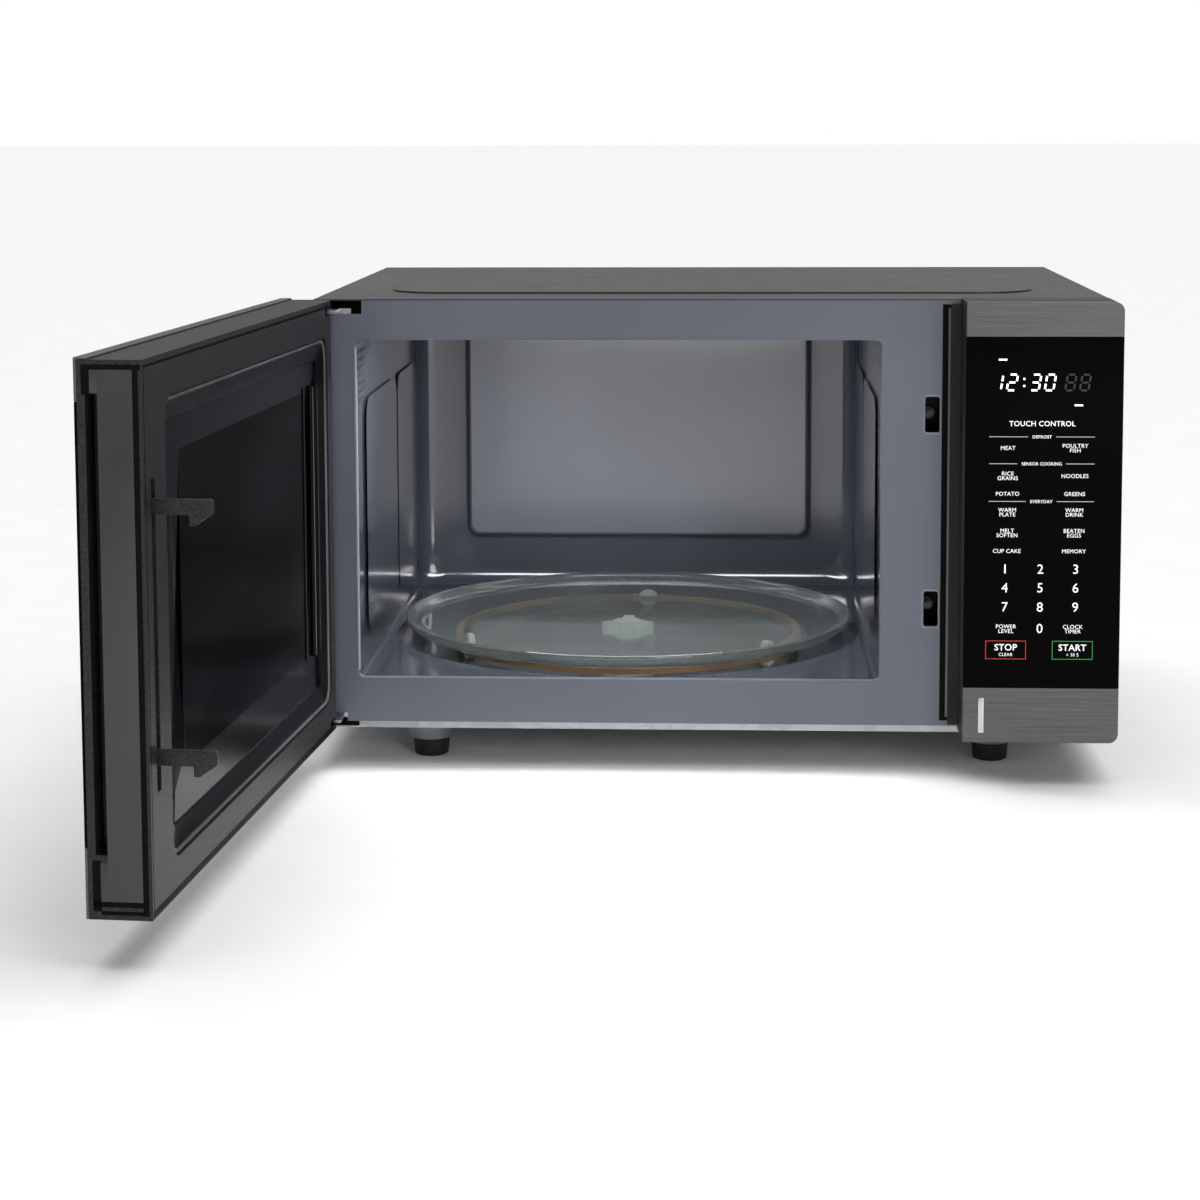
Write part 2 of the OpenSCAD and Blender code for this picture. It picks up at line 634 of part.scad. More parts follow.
module control_housing() color("#1f2022") placed() {
    difference() {
        panel_outline(panel_x0, half_w, panel_z0, body_h, panel_back, -panel_back, panel_r);
        block([panel_x0 + housing_t, panel_back + housing_t, panel_z0 + housing_t],
            [half_w - housing_t, 1, body_h - housing_t - 1]);
        block([panel_x0 + 15, panel_back - 1, glass_z1 - 70], [half_w - 15, panel_back + 3, glass_z1 - 30]);
    }
    wall_y(panel_x0 - 6.6, panel_x0 + housing_t, plate_z0 + 1, plate_z1 - 2, -1.8, 1.8, 0.8);
}

module control_glass() color("#0d0d10") placed()
    wall_y(panel_x0, half_w, glass_z0, glass_z1, panel_face, face_t);

module control_trim_top() color("#77787a") placed() intersection() {
    panel_outline(panel_x0, half_w, panel_z0, body_h, panel_face, face_t, panel_r);
    block([panel_x0 - 1, panel_face - 1, glass_z1], [half_w + 1, 0, body_h + 1]);
}

module control_trim_bottom() color("#77787a") placed() intersection() {
    panel_outline(panel_x0, half_w, panel_z0, body_h, panel_face, face_t, panel_r);
    block([panel_x0 - 1, panel_face - 1, 0], [half_w + 1, 0, glass_z0]);
}

module touch_film() color("#3a3d44") placed()
    wall_y(panel_x0 + 14, half_w - 14, glass_z0 + 12, glass_z1 - 74, panel_back + housing_t, 0.6, 2);

module display_module() color("#22262c") placed() {
    wall_y(panel_x0 + 15.3, half_w - 15.3, glass_z1 - 69.7, glass_z1 - 30.3, panel_back + 0.4, 6);
    wall_y(panel_x0 + 12, half_w - 12, glass_z1 - 72, glass_z1 - 28, panel_back + 6.4 - eps, 2);
}

module control_board() color("#2f6b46") placed() {
    wall_y(panel_x0 + 8, half_w - 8, glass_z0 - 10, glass_z1 + 6, panel_back + 16, board_t);
    for (k = [0:3]) translate([panel_x0 + 20 + k * 15, panel_back + 17, glass_z0 + 10]) cube([11, 9, 14]);
    for (x = [panel_x0 + 12, half_w - 12], z = [glass_z0 - 4, glass_z1])
        rod_y(x, panel_back + housing_t, z, 5, 14.2);
}

// ---- Fastenings and brackets ----

module cord_bushing() color("#18181a") placed() difference() {
    union() {
        rod_y(bay_cx, rear_y - 6, base_z + 34, bushing_d - 0.2, 8);
        rod_y(bay_cx, rear_y + sheet_t, base_z + 34, 21, 3);
        rod_y(bay_cx, rear_y - 5, base_z + 34, 19, 4.8);
    }
    rod_y(bay_cx, rear_y - 10, base_z + 34, 8, 20);
}

module hinge_bracket(z0, low, high, pin_z) {
    difference() {
        union() {
            block([hinge_x - 5, hinge_y - 5.5, z0], [hinge_x + 12, plate_t + tongue_t, z0 + tongue_t]);
            block([hinge_x - 5, plate_t, low], [cav_x0 - liner_t - 1, plate_t + tongue_t, high]);
        }
        at_bracket_screws() rod_y(0, -4, 0, screw_d, 6);
    }
    translate([hinge_x, hinge_y, pin_z]) cylinder(d = pin_d, h = pin_len);
}

module hinge_bracket_top() color("#c6c8ca") placed() 
    hinge_bracket(tongue_top, tongue_top - bracket_h, tongue_top + tongue_t, tongue_top + tongue_t - pin_len);
module hinge_bracket_bottom() color("#c6c8ca") placed() 
    hinge_bracket(tongue_bot, tongue_bot, tongue_bot + bracket_h, tongue_bot);

module case_screws() color("#a7a9ab") placed() at_case_screws() {
    rod_y(0, -6, 0, screw_d, 7 + sheet_t);
    rod_y(0, sheet_t, 0, 7.5, 1.8);
}

module bracket_screws() color("#a7a9ab") placed() at_bracket_screws() {
    rod_y(0, 0, 0, 7, 2);
    rod_y(0, -plate_t - tongue_t + 0.2, 0, screw_d, 4);
}

// ---- Door ----

module door_outline(z0, z1, y0, y1) {
    block([hinge_x, y1, z0], [door_x1, y0, z1]);
    block([hinge_x - hinge_r, y1, z0], [hinge_x + 1, hinge_y, z1]);
    translate([hinge_x, hinge_y, z0]) cylinder(r = hinge_r, h = z1 - z0);
}

module window_hole(grow, y0, t, r)
    wall_y(cav_cx - win_w / 2 - grow, cav_cx + win_w / 2 + grow, cav_cz - win_h / 2 - grow,
        cav_cz + win_h / 2 + grow, y0, t, r);

module door_frame() color("#2b2c2f") on_door() difference() {
    door_outline(door_z0, door_z1, door_in, door_out);
    window_hole(0, door_out - 1, door_t + 2, 6);
    wall_y(choke_x0, choke_x1, choke_z0, choke_z1, door_in - choke_step - 3, 20, choke_r);
    window_hole(14, door_out - 1, 12, 6);
    for (z = [[tongue_top - tongue_gap, tongue_top + tongue_t + tongue_gap],
            [tongue_bot - tongue_gap, tongue_bot + tongue_t + tongue_gap]])
        translate([hinge_x, hinge_y, z[0]]) cylinder(r = hinge_pocket_r, h = z[1] - z[0]);
    translate([hinge_x, hinge_y, tongue_top - pin_len]) cylinder(d = pin_d + 2 * fit, h = pin_len);
    translate([hinge_x, hinge_y, tongue_bot]) cylinder(d = pin_d + 2 * fit, h = pin_len + tongue_t + 1);
    block([hook_x - 1.5, lever_y - lever_t - 1.5, latch_z(-1) - 8], [hook_x + hook_t + 1.5,
            door_in + 1, latch_z(1) + hook_head + 10]);
    block([door_x1 - 14, door_out + 4.2, door_z0 + 33], [door_x1 + 1, door_out + 10.4, door_z1 - 17]);
}

module door_glass() color("#0b0b0d") on_door()
    wall_y(-half_w + 1, door_x1, glass_z0, glass_z1, door_face, face_t);

module door_trim_top() color("#77787a") on_door() {
    wall_y(-half_w, door_x1, glass_z1, door_z1, door_face, face_t);
    wall_z(-half_w, door_x1, door_face, door_out + 6, door_z1, 1);
}

module door_trim_bottom() color("#77787a") on_door()
    wall_y(-half_w, door_x1, door_z0, glass_z0, door_face, face_t);

module door_screen() color("#3a3b3f") on_door() difference() {
    window_hole(13.5, door_out + 9.5, 1, 5);
    holes_y(cav_cx - 120, door_out + 8, cav_cz - 60, 9, 5, 30, 3, 4);
}

module door_window_film() color("#17181a") on_door()
    window_hole(8, door_in - choke_step - 2.4, 0.6, 5);

module door_choke_cover() color("#303136") on_door() difference() {
    wall_y(choke_x0 + hair, choke_x1 - hair, choke_z0 + hair, choke_z1 - hair, door_in - choke_step,
            choke_step - 1, choke_r - hair);
    window_hole(0, door_in - choke_step - 2, choke_step + 4, 5);
}

module hook_profile(s) translate([hook_x, 0, latch_z(s)]) rotate([90, 0, 90]) linear_extrude(hook_t) polygon([
    [lever_y - lever_t, hook_head - hook_stem], [hook_tip - hook_head_len, hook_head - hook_stem],
    [hook_tip - hook_head_len, 0], [hook_tip - hook_head_len + 3, 0], [hook_tip, hook_head - hook_stem + 1],
    [hook_tip, hook_head - 1], [hook_tip - 1, hook_head], [lever_y - lever_t, hook_head]
]);

module latch_lever() color("#d2cfc6") on_door() {
    for (s = [-1, 1]) hook_profile(s);
    block([hook_x, lever_y - lever_t, latch_z(-1) + 2], [hook_x + hook_t, lever_y, latch_z(1) + hook_head]);
}

module latch_spring() color("#b5b7b9") on_door()
    translate([hook_x + hook_t / 2, lever_y - lever_t / 2, latch_z(-1) - 6.5])
        for (k = [0:4]) translate([0, 0, k * 1.6]) rotate_extrude() translate([1.9, 0.9]) circle(0.85,
                $fn = 16);

cabinet_cover();
rear_panel();
base_plate();
feet();
front_plate();
cavity_liner();
cavity_back();
waveguide_cover();
waveguide();
magnetron();
magnetron_thermostat();
cavity_thermostat();
inverter_tray();
inverter_board();
inverter_transformer();
heat_sink();
noise_filter();
mains_fuse();
fan_shroud();
fan_motor();
fan_blades();
air_duct();
exhaust_duct();
humidity_sensor();
lamp_housing();
lamp_bulb();
latch_switch_holder();
door_switches();
switch_plunger_upper();
switch_plunger_lower();
turntable_motor();
turntable_coupler();
roller_ring();
roller_wheel_1();
roller_wheel_2();
roller_wheel_3();
turntable_glass();
control_housing();
control_glass();
control_trim_top();
control_trim_bottom();
touch_film();
display_module();
control_board();
cord_bushing();
hinge_bracket_top();
hinge_bracket_bottom();
case_screws();
bracket_screws();
door_frame();
door_glass();
door_trim_top();
door_trim_bottom();
door_screen();
door_window_film();
door_choke_cover();
latch_lever();
latch_spring();
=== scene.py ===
import json
import math

import bmesh
import bpy
from mathutils import Matrix, Vector


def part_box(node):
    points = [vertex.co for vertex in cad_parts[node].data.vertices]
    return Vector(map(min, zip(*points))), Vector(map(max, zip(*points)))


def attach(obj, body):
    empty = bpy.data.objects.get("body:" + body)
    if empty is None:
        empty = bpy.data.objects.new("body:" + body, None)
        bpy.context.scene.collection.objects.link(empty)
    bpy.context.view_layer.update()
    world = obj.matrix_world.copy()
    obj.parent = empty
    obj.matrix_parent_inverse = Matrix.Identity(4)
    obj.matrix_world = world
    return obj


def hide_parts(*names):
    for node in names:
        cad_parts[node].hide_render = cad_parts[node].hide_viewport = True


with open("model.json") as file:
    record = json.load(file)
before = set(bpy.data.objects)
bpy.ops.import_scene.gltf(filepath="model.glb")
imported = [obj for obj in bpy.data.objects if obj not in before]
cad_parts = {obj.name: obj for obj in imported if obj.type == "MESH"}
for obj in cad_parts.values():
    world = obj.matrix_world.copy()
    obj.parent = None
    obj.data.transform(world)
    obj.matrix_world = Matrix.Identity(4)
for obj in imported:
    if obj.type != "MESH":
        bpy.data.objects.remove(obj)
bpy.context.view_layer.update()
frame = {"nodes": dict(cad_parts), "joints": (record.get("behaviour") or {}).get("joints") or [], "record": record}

# ---- The frame's measures, in millimetres from the cabinet's own origin ----
# The origin is the middle of the front plate's face, at the height of the counter: +x to the
# user's right, +y towards the back, +z up. Door pieces are modelled shut and then swung open.

MM = 0.001
plate_low, plate_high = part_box("front_plate")
ORIGIN = Vector(((plate_low.x + plate_high.x) / 2, plate_low.y, 0))
TO_FRAME = Matrix.Translation(ORIGIN) @ Matrix.Scale(MM, 4)

joints = {joint["name"]: joint for joint in frame["joints"]}


def cabinet_mm(point):
    return (Vector(point) - ORIGIN) / MM


def span(node):
    """Lowest and highest corner of a piece of the frame."""
    low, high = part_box(node)
    return cabinet_mm(low), cabinet_mm(high)


HINGE = cabinet_mm(joints["door_swing"]["pos_m"])
OPENED = math.radians(-joints["door_swing"]["range_deg"][0])
SWUNG = Matrix.Translation(HINGE) @ Matrix.Rotation(-OPENED, 4, "Z") @ Matrix.Translation(-HINGE)


def shut_span(node):
    """Lowest and highest corner of a door piece, as it lies with the door shut."""
    shut = SWUNG.inverted()
    points = [shut @ cabinet_mm(v.co) for v in frame["nodes"][node].data.vertices]
    low = Vector([min(p[k] for p in points) for k in range(3)])
    high = Vector([max(p[k] for p in points) for k in range(3)])
    return low, high


LINER = span("cavity_liner")
BACK = span("cavity_back")
TRAY = span("turntable_glass")
GLASS = span("control_glass")
FRAME = shut_span("door_frame")
SCREEN = shut_span("door_screen")
FILM = shut_span("door_window_film")
CHOKE = shut_span("door_choke_cover")
LINER_SHEET = 0.8

# ---- Camera ----

camera_data = bpy.data.cameras.new("camera")
camera = bpy.data.objects.new("camera", camera_data)
bpy.context.scene.collection.objects.link(camera)
bpy.context.scene.camera = camera
CAMERA_PLACE = Vector((14.8, -1660.5, 423.9))
CAMERA_YAW, CAMERA_PITCH, CAMERA_ROLL = 2.941, 5.865, -0.214
camera.location = TO_FRAME @ CAMERA_PLACE
camera.rotation_euler = (
    Matrix.Rotation(math.radians(CAMERA_YAW), 3, "Z")
    @ Matrix.Rotation(math.radians(90 - CAMERA_PITCH), 3, "X")
    @ Matrix.Rotation(math.radians(CAMERA_ROLL), 3, "Z")
).to_euler()
camera_data.sensor_width = 36
camera_data.lens = 77.43
camera_data.shift_y = -0.18
camera_data.clip_start, camera_data.clip_end = 0.05, 60

# ---- Materials ----


def hex_colour(text):
    """Linear colour from a six-figure hex value."""
    parts = [int(text[k:k + 2], 16) / 255 for k in (0, 2, 4)]
    return [c / 12.92 if c < 0.04045 else ((c + 0.055) / 1.055) ** 2.4 for c in parts] + [1]


class Finish:
    """A node material read from Object coordinates, built up by the calls below."""

    def __init__(self, name, colour, roughness, metallic=0.0, **sockets):
        self.material = bpy.data.materials.new(name)
        self.material.use_nodes = True
        self.tree = self.material.node_tree
        self.shader = self.tree.nodes["Principled BSDF"]
        self.shader.inputs["Base Color"].default_value = hex_colour(colour)
        self.shader.inputs["Roughness"].default_value = roughness
        self.shader.inputs["Metallic"].default_value = metallic
        for socket, value in sockets.items():
            self.shader.inputs[socket.replace("_", " ")].default_value = value
        self.roughness = roughness
        self.place = self.node("ShaderNodeTexCoord").outputs["Object"]

    def node(self, kind, **inputs):
        made = self.tree.nodes.new(kind)
        for socket, value in inputs.items():
            made.inputs[socket].default_value = value
        return made

    def link(self, a, b):
        self.tree.links.new(a, b)

    def stretched(self, scale):
        mapping = self.node("ShaderNodeMapping", Scale=scale)
        self.link(self.place, mapping.inputs["Vector"])
        return mapping.outputs["Vector"]

    def noise(self, scale, detail=3, stretch=(1, 1, 1)):
        made = self.node("ShaderNodeTexNoise", Scale=scale, Detail=detail)
        self.link(self.stretched(stretch), made.inputs["Vector"])
        return made.outputs["Fac"]

    def cells(self, scale, output="Color"):
        made = self.node("ShaderNodeTexVoronoi", Scale=scale)
        self.link(self.place, made.inputs["Vector"])
        return made.outputs[output]

    def ramp(self, value, stops):
        made = self.node("ShaderNodeValToRGB")
        elements = made.color_ramp.elements
        while len(elements) < len(stops):
            elements.new(0.5)
        for element, (position, colour) in zip(elements, stops):
            element.position = position
            element.color = hex_colour(colour)
        self.link(value, made.inputs["Fac"])
        return made.outputs["Color"]

    def tinted(self, value, dark, light, low=0.3, high=0.7):
        """Base colour that wanders between two tones."""
        colour = self.ramp(value, ((low, dark), (high, light)))
        self.link(colour, self.shader.inputs["Base Color"])
        return self

    def rubbed(self, value, spread):
        """Roughness that wanders either side of the finish's own."""
        scaled = self.node("ShaderNodeMapRange")
        scaled.inputs["To Min"].default_value = max(0.02, self.roughness - spread)
        scaled.inputs["To Max"].default_value = min(1.0, self.roughness + spread)
        self.link(value, scaled.inputs["Value"])
        self.link(scaled.outputs["Result"], self.shader.inputs["Roughness"])
        return self

    def bumped(self, value, depth, strength=1.0):
        """Relief of that depth in metres."""
        bump = self.node("ShaderNodeBump", Distance=depth, Strength=strength)
        self.link(value, bump.inputs["Height"])
        self.link(bump.outputs["Normal"], self.shader.inputs["Normal"])
        return self


def powder_coat(name, dark, light, roughness):
    made = Finish(name, light, roughness, Specular_IOR_Level=0.45)
    made.tinted(made.noise(9, 2), dark, light)
    made.rubbed(made.noise(60, 3), 0.06)
    return made.bumped(made.noise(1400, 2), 0.00004, 0.5).material


def enamel(name, dark, light, roughness, coat):
    made = Finish(name, light, roughness, Coat_Weight=coat, Coat_Roughness=0.12)
    made.tinted(made.noise(5, 2), dark, light)
    made.rubbed(made.noise(45, 3), 0.05)
    return made.bumped(made.noise(420, 2), 0.00012, 0.35).material


def zinc(name, dark, light, roughness):
    made = Finish(name, light, roughness, 1.0)
    made.tinted(made.cells(110), dark, light, 0.1, 0.9)
    made.rubbed(made.cells(110, "Distance"), 0.08)
    return made.bumped(made.noise(300, 2), 0.00005, 0.3).material


def brushed(name, dark, light, roughness, grain=(3, 60, 900)):
    made = Finish(name, light, roughness, 0.9)
    lines = made.noise(3, 5, grain)
    made.tinted(lines, dark, light, 0.25, 0.75)
    made.rubbed(lines, 0.07)
    return made.bumped(lines, 0.00003, 0.5).material


def moulded(name, dark, light, roughness, grain=1500, depth=0.00006, **sockets):
    made = Finish(name, light, roughness, **sockets)
    made.tinted(made.noise(14, 2), dark, light)
    made.rubbed(made.noise(90, 2), 0.05)
    return made.bumped(made.noise(grain, 2), depth, 0.6).material


def spark_eroded(name, dark, light, roughness):
    """The fine grain of a textured mould, which glints where it catches the light."""
    made = Finish(name, light, roughness, Specular_IOR_Level=0.4)
    grain = made.noise(750, 2)
    made.tinted(grain, dark, light, 0.35, 0.7)
    made.rubbed(made.noise(700, 2), 0.1)
    return made.bumped(grain, 0.0002, 0.75).material


def gloss(name, dark, light, roughness, **sockets):
    made = Finish(name, light, roughness, **sockets)
    made.tinted(made.noise(8, 2), dark, light)
    return made.rubbed(made.noise(30, 3), 0.02).material


def clear(name, colour, roughness, ior, haze, through=1.0, **sockets):
    made = Finish(name, colour, roughness, Transmission_Weight=through, IOR=ior, **sockets)
    made.rubbed(made.noise(40, 3), roughness * 0.6)
    return made.bumped(made.noise(160, 2), haze, 0.25).material


# Surface that emits light: on the readout's lit figures it is their own light; on the print and the unlit figures
# it is a painted glow.
def lit(name, colour, strength):
    made = Finish(name, colour, 0.4, Emission_Strength=strength)
    made.shader.inputs["Emission Color"].default_value = hex_colour(colour)
    made.tinted(made.noise(300, 1), colour, colour)
    return made.material


def board(name):
    """Solder mask over copper tracks."""
    made = Finish(name, "1f5a38", 0.35)
    tracks = made.cells(260)
    made.tinted(tracks, "16422a", "2d7a4c", 0.2, 0.8)
    return made.bumped(tracks, 0.0001, 0.3).material


MATERIALS = {
    "cabinet_grey": powder_coat("cabinet_grey", "2b2c2d", "323334", 0.34),
    "galvanised_sheet": zinc("galvanised_sheet", "a4a7a9", "b4b7b9", 0.42),
    "plate_enamel": enamel("plate_enamel", "5b5f6d", "666a79", 0.3, 0.5),
    "brushed_trim": brushed("brushed_trim", "505153", "707173", 0.4, (8, 60, 1600)),
    "panel_glass": gloss("panel_glass", "020203", "040405", 0.08, Specular_IOR_Level=0.03),
    "housing_plastic": moulded("housing_plastic", "0e0e0f", "141415", 0.5),
    "door_plastic": spark_eroded("door_plastic", "080809", "2a2b2c", 0.45),
    "screen_steel": moulded("screen_steel", "67686b", "77787b", 0.4, 900),
    "window_film": gloss("window_film", "050506", "08080a", 0.06, Alpha=0.1, Specular_IOR_Level=0.25),
    "tray_glass": clear("tray_glass", "ecf6f2", 0.02, 1.5, 0.00005, 0.95),
    "foot_rubber": moulded("foot_rubber", "0d0d0e", "161617", 0.7, 700, 0.0001),
    "ring_plastic": moulded("ring_plastic", "8d6a4c", "a5805f", 0.5, 900),
    "white_plastic": moulded("white_plastic", "dcdbd6", "eeede9", 0.42, 900),
    "board_green": board("board_green"),
    "plated_steel": zinc("plated_steel", "b4b6b8", "d6d8da", 0.24),
    "magnet_steel": zinc("magnet_steel", "85888b", "a6a9ac", 0.34),
    "heat_sink_metal": brushed("heat_sink_metal", "a9acae", "c9cccf", 0.4, (60, 3, 900)),
    "mica": moulded("mica", "a79c7c", "beb394", 0.6, 400, 0.0002),
    "ceramic": moulded("ceramic", "d5cfbf", "e8e3d6", 0.25, 500),
    "coil_dark": moulded("coil_dark", "1d1d1f", "333336", 0.5, 600, 0.0002),
    "lamp_glass": clear("lamp_glass", "fff3d6", 0.05, 1.4, 0.00003),
    "display_dark": gloss("display_dark", "0a0c0f", "12151a", 0.12),
}
FIELD_PAINTED_LIGHT_ENAMEL = enamel("back_field_painted_light", "64656c", "6f717a", 0.2, 0.8)
CHOKE_GLOSS = gloss("choke_gloss", "030304", "050506", 0.2, Specular_IOR_Level=0.1)
# Lighter copy of the door's black gloss for the brow and rib tops: a painted highlight.
PAINTED_HIGHLIGHT_GLOSS = gloss("painted_highlight_gloss", "4a4a4b", "646466", 0.22)
SLOPE_GLOSS = gloss("slope_gloss", "0a0a0b", "111112", 0.32, Specular_IOR_Level=0.14)
EDGE_SATIN = moulded("edge_satin", "323334", "3c3d3e", 0.42, 1100, 0.00004)
SHADOW_GAP = moulded("shadow_gap", "030303", "060606", 0.6, 300, 0.00003, Specular_IOR_Level=0.1)
LEDGE_GREY = moulded("ledge_grey", "5c6064", "686c70", 0.4, 900, 0.00003)
# Print that glows: a painted glow on the legends, rules and key outlines.
PRINT_WHITE_PAINTED_GLOW = lit("print_white_painted_glow", "f2f2f4", 0.55)
PRINT_GREY_PAINTED_GLOW = lit("print_grey_painted_glow", "b8b8bc", 0.35)
PRINT_RED_PAINTED_GLOW = lit("print_red_painted_glow", "b02a2c", 0.45)
PRINT_GREEN_PAINTED_GLOW = lit("print_green_painted_glow", "2f8a3c", 0.4)
DISPLAY_LIT = lit("display_lit", "ffffff", 1.4)
DISPLAY_UNLIT_PAINTED_GLOW = lit("display_unlit_painted_glow", "35231b", 0.12)
CHROME = brushed("chrome", "b8babc", "dcdee0", 0.18, (900, 60, 3))
LINER_ENAMEL = enamel("liner_enamel", "3b3d46", "464954", 0.14, 1.0)
RIM_HIGHLIGHT_ENAMEL = enamel("rim_painted_highlight_enamel", "7b7f8c", "868a97", 0.25, 0.8)
# Lighter copy of the plate's enamel for the flange strip and the vent hole edges: a painted highlight.
PAINTED_HIGHLIGHT_ENAMEL = enamel("painted_highlight_enamel", "9a9ea8", "b2b5bf", 0.2, 0.9)

SLOTS = {part["node"]: part["material_slot"] for part in frame["record"]["subparts"]}
for node, carried in frame["nodes"].items():
    carried.data.materials.clear()
    carried.data.materials.append(MATERIALS[SLOTS[node]])

# ---- Modelling helpers: everything is modelled in cabinet millimetres ----


def rounded_off(bm, edges, width, segments=2):
    """Rounds the given edges over to a width."""
    if edges:
        bmesh.ops.bevel(bm, geom=edges, offset=width, segments=segments, profile=0.5,
                        affect="EDGES", material=-1, clamp_overlap=True)


def edges_of(verts):
    """Each edge that meets one of the points, once, in the same order every time."""
    return list(dict.fromkeys(e for v in verts for e in v.link_edges))


def slab(bm, low, high, edge=0.0, segments=2):
    """A block between two corners, with its edges rounded over."""
    low, high = Vector(low), Vector(high)
    turned = Matrix.Translation((low + high) / 2) @ Matrix.Diagonal((*(high - low), 1))
    made = bmesh.ops.create_cube(bm, size=1, matrix=turned)["verts"]
    if edge:
        rounded_off(bm, edges_of(made), edge, segments)


def rod(bm, start, direction, radius, length, steps=24, edge=0.0):
    """A round bar from a point along a direction."""
    direction = Vector(direction).normalized()
    turned = direction.to_track_quat("Z", "Y").to_matrix().to_4x4()
    middle = Matrix.Translation(Vector(start) + direction * length / 2) @ turned
    made = bmesh.ops.create_cone(bm, cap_ends=True, segments=steps, radius1=radius, radius2=radius,
                                 depth=length, matrix=middle)["verts"]
    if edge:
        sharp = [e for e in edges_of(made) if len(e.link_faces) == 2 and e.calc_face_angle() > 1]
        rounded_off(bm, sharp, edge, 2)


def ring_points(x0, x1, z0, z1, radius, steps):
    """Corner points of a rectangle with round corners, anticlockwise from its lower right."""
    corners = ((x1 - radius, z0 + radius, -90), (x1 - radius, z1 - radius, 0),
               (x0 + radius, z1 - radius, 90), (x0 + radius, z0 + radius, 180))
    for cx, cz, start in corners:
        for k in range(steps + 1):
            turn = math.radians(start + 90 * k / steps)
            yield cx + radius * math.cos(turn), cz + radius * math.sin(turn)


def loop_y(bm, outline, inset, y, steps=8, corner=None):
    """Closed loop of edges: an outline (x0, x1, z0, z1, radius) drawn in by an inset, at depth y."""
    x0, x1, z0, z1, radius = outline
    shrunk = (x0 + inset, x1 - inset, z0 + inset, z1 - inset, corner or max(radius - inset, 0.4))
    verts = [bm.verts.new((x, y, z)) for x, z in ring_points(*shrunk, steps)]
    return [bm.edges.new((a, b)) for a, b in zip(verts, verts[1:] + verts[:1])]


def lofted(bm, outline, stations, steps=8):
    """Skin through an outline's loops, one for each station: inset, y and, if it isn't the
    outline's own radius less the inset, the corner's radius."""
    loops = [loop_y(bm, outline, inset, y, steps, *corner) for inset, y, *corner in stations]
    for a, b in zip(loops, loops[1:]):
        bmesh.ops.bridge_loops(bm, edges=a + b)
    return loops


def spun(bm, profile, steps):
    """Solid of revolution about z from the (radius, height) points of a closed outline."""
    verts = [bm.verts.new((r, 0, z)) for r, z in profile]
    edges = [bm.edges.new(pair) for pair in zip(verts, verts[1:])]
    edges.append(bm.edges.new((verts[-1], verts[0])))
    bmesh.ops.spin(bm, geom=verts + edges, cent=(0, 0, 0), axis=(0, 0, 1), angle=math.tau,
                   steps=steps, use_merge=True)
    bmesh.ops.remove_doubles(bm, verts=bm.verts[:], dist=0.001)
    bmesh.ops.recalc_face_normals(bm, faces=bm.faces[:])


def frame_copy(node):
    """A piece of the frame as a clean mesh in cabinet millimetres: points merged, flat faces joined."""
    merge, flat_angle = 0.001, math.radians(0.6)
    bm = bmesh.new()
    bm.from_mesh(frame["nodes"][node].data)
    bmesh.ops.transform(bm, matrix=TO_FRAME.inverted(), verts=bm.verts[:])
    bmesh.ops.remove_doubles(bm, verts=bm.verts[:], dist=merge)
    bmesh.ops.dissolve_limit(bm, angle_limit=flat_angle, verts=bm.verts[:], edges=bm.edges[:])
    return bm


def placed(bm, name, body, materials, nodes=(), on_door=False, angle=32, bevel=0.0,
           segments=2):
    """Makes a piece of a mesh: in its place, on its body, with its finish and the nodes it replaces."""
    if on_door:
        bmesh.ops.transform(bm, matrix=SWUNG, verts=bm.verts[:])
    bmesh.ops.transform(bm, matrix=TO_FRAME, verts=bm.verts[:])
    mesh = bpy.data.meshes.new(name)
    bm.to_mesh(mesh)
    bm.free()
    for material in materials if isinstance(materials, (list, tuple)) else [materials]:
        mesh.materials.append(material)
    mesh.shade_smooth()
    mesh.set_sharp_from_angle(angle=math.radians(angle))
    piece = bpy.data.objects.new(name, mesh)
    bpy.context.scene.collection.objects.link(piece)
    if bevel:
        rounding = piece.modifiers.new("rounded_edges", "BEVEL")
        rounding.width = bevel * MM
        rounding.segments = segments
        rounding.limit_method = "ANGLE"
        rounding.angle_limit = math.radians(32)
        rounding.use_clamp_overlap = True
        mesh.set_sharp_from_angle(angle=math.radians(180))
        weighted = piece.modifiers.new("even_normals", "WEIGHTED_NORMAL")
        weighted.keep_sharp = True
    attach(piece, body)
    if nodes:
        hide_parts(*nodes)
    return piece


def body_of(node):
    bodies = frame["record"]["behaviour"]["bodies"]
    return next(body for body, members in bodies.items() if node in members)


def eased(node, width, material=None, segments=2):
    """A piece of the frame with its edges rounded over, as the pressed or moulded one has."""
    slot = SLOTS[node]
    return placed(frame_copy(node), "soft_" + node, body_of(node),
                  material or MATERIALS[slot], (node,), bevel=width, segments=segments)


# ---- Cabinet ----


def cabinet():
    eased("cabinet_cover", 1.1, segments=3)
    eased("rear_panel", 0.25)
    eased("base_plate", 0.5)
    eased("feet", 0.6)
    eased("cord_bushing", 0.5)
    eased("hinge_bracket_top", 0.4)
    eased("hinge_bracket_bottom", 0.4)
    eased("latch_switch_holder", 0.5)


def islands_of(node):
    """The points of each separate solid of a piece of the frame."""
    source = frame_copy(node)
    islands, seen = [], set()
    for start in source.verts:
        if start in seen:
            continue
        seen.add(start)
        stack, island = [start], []
        while stack:
            v = stack.pop()
            island.append(v.co.copy())
            for e in v.link_edges:
                w = e.other_vert(v)
                if w not in seen:
                    seen.add(w)
                    stack.append(w)
        islands.append(island)
    source.free()
    return islands


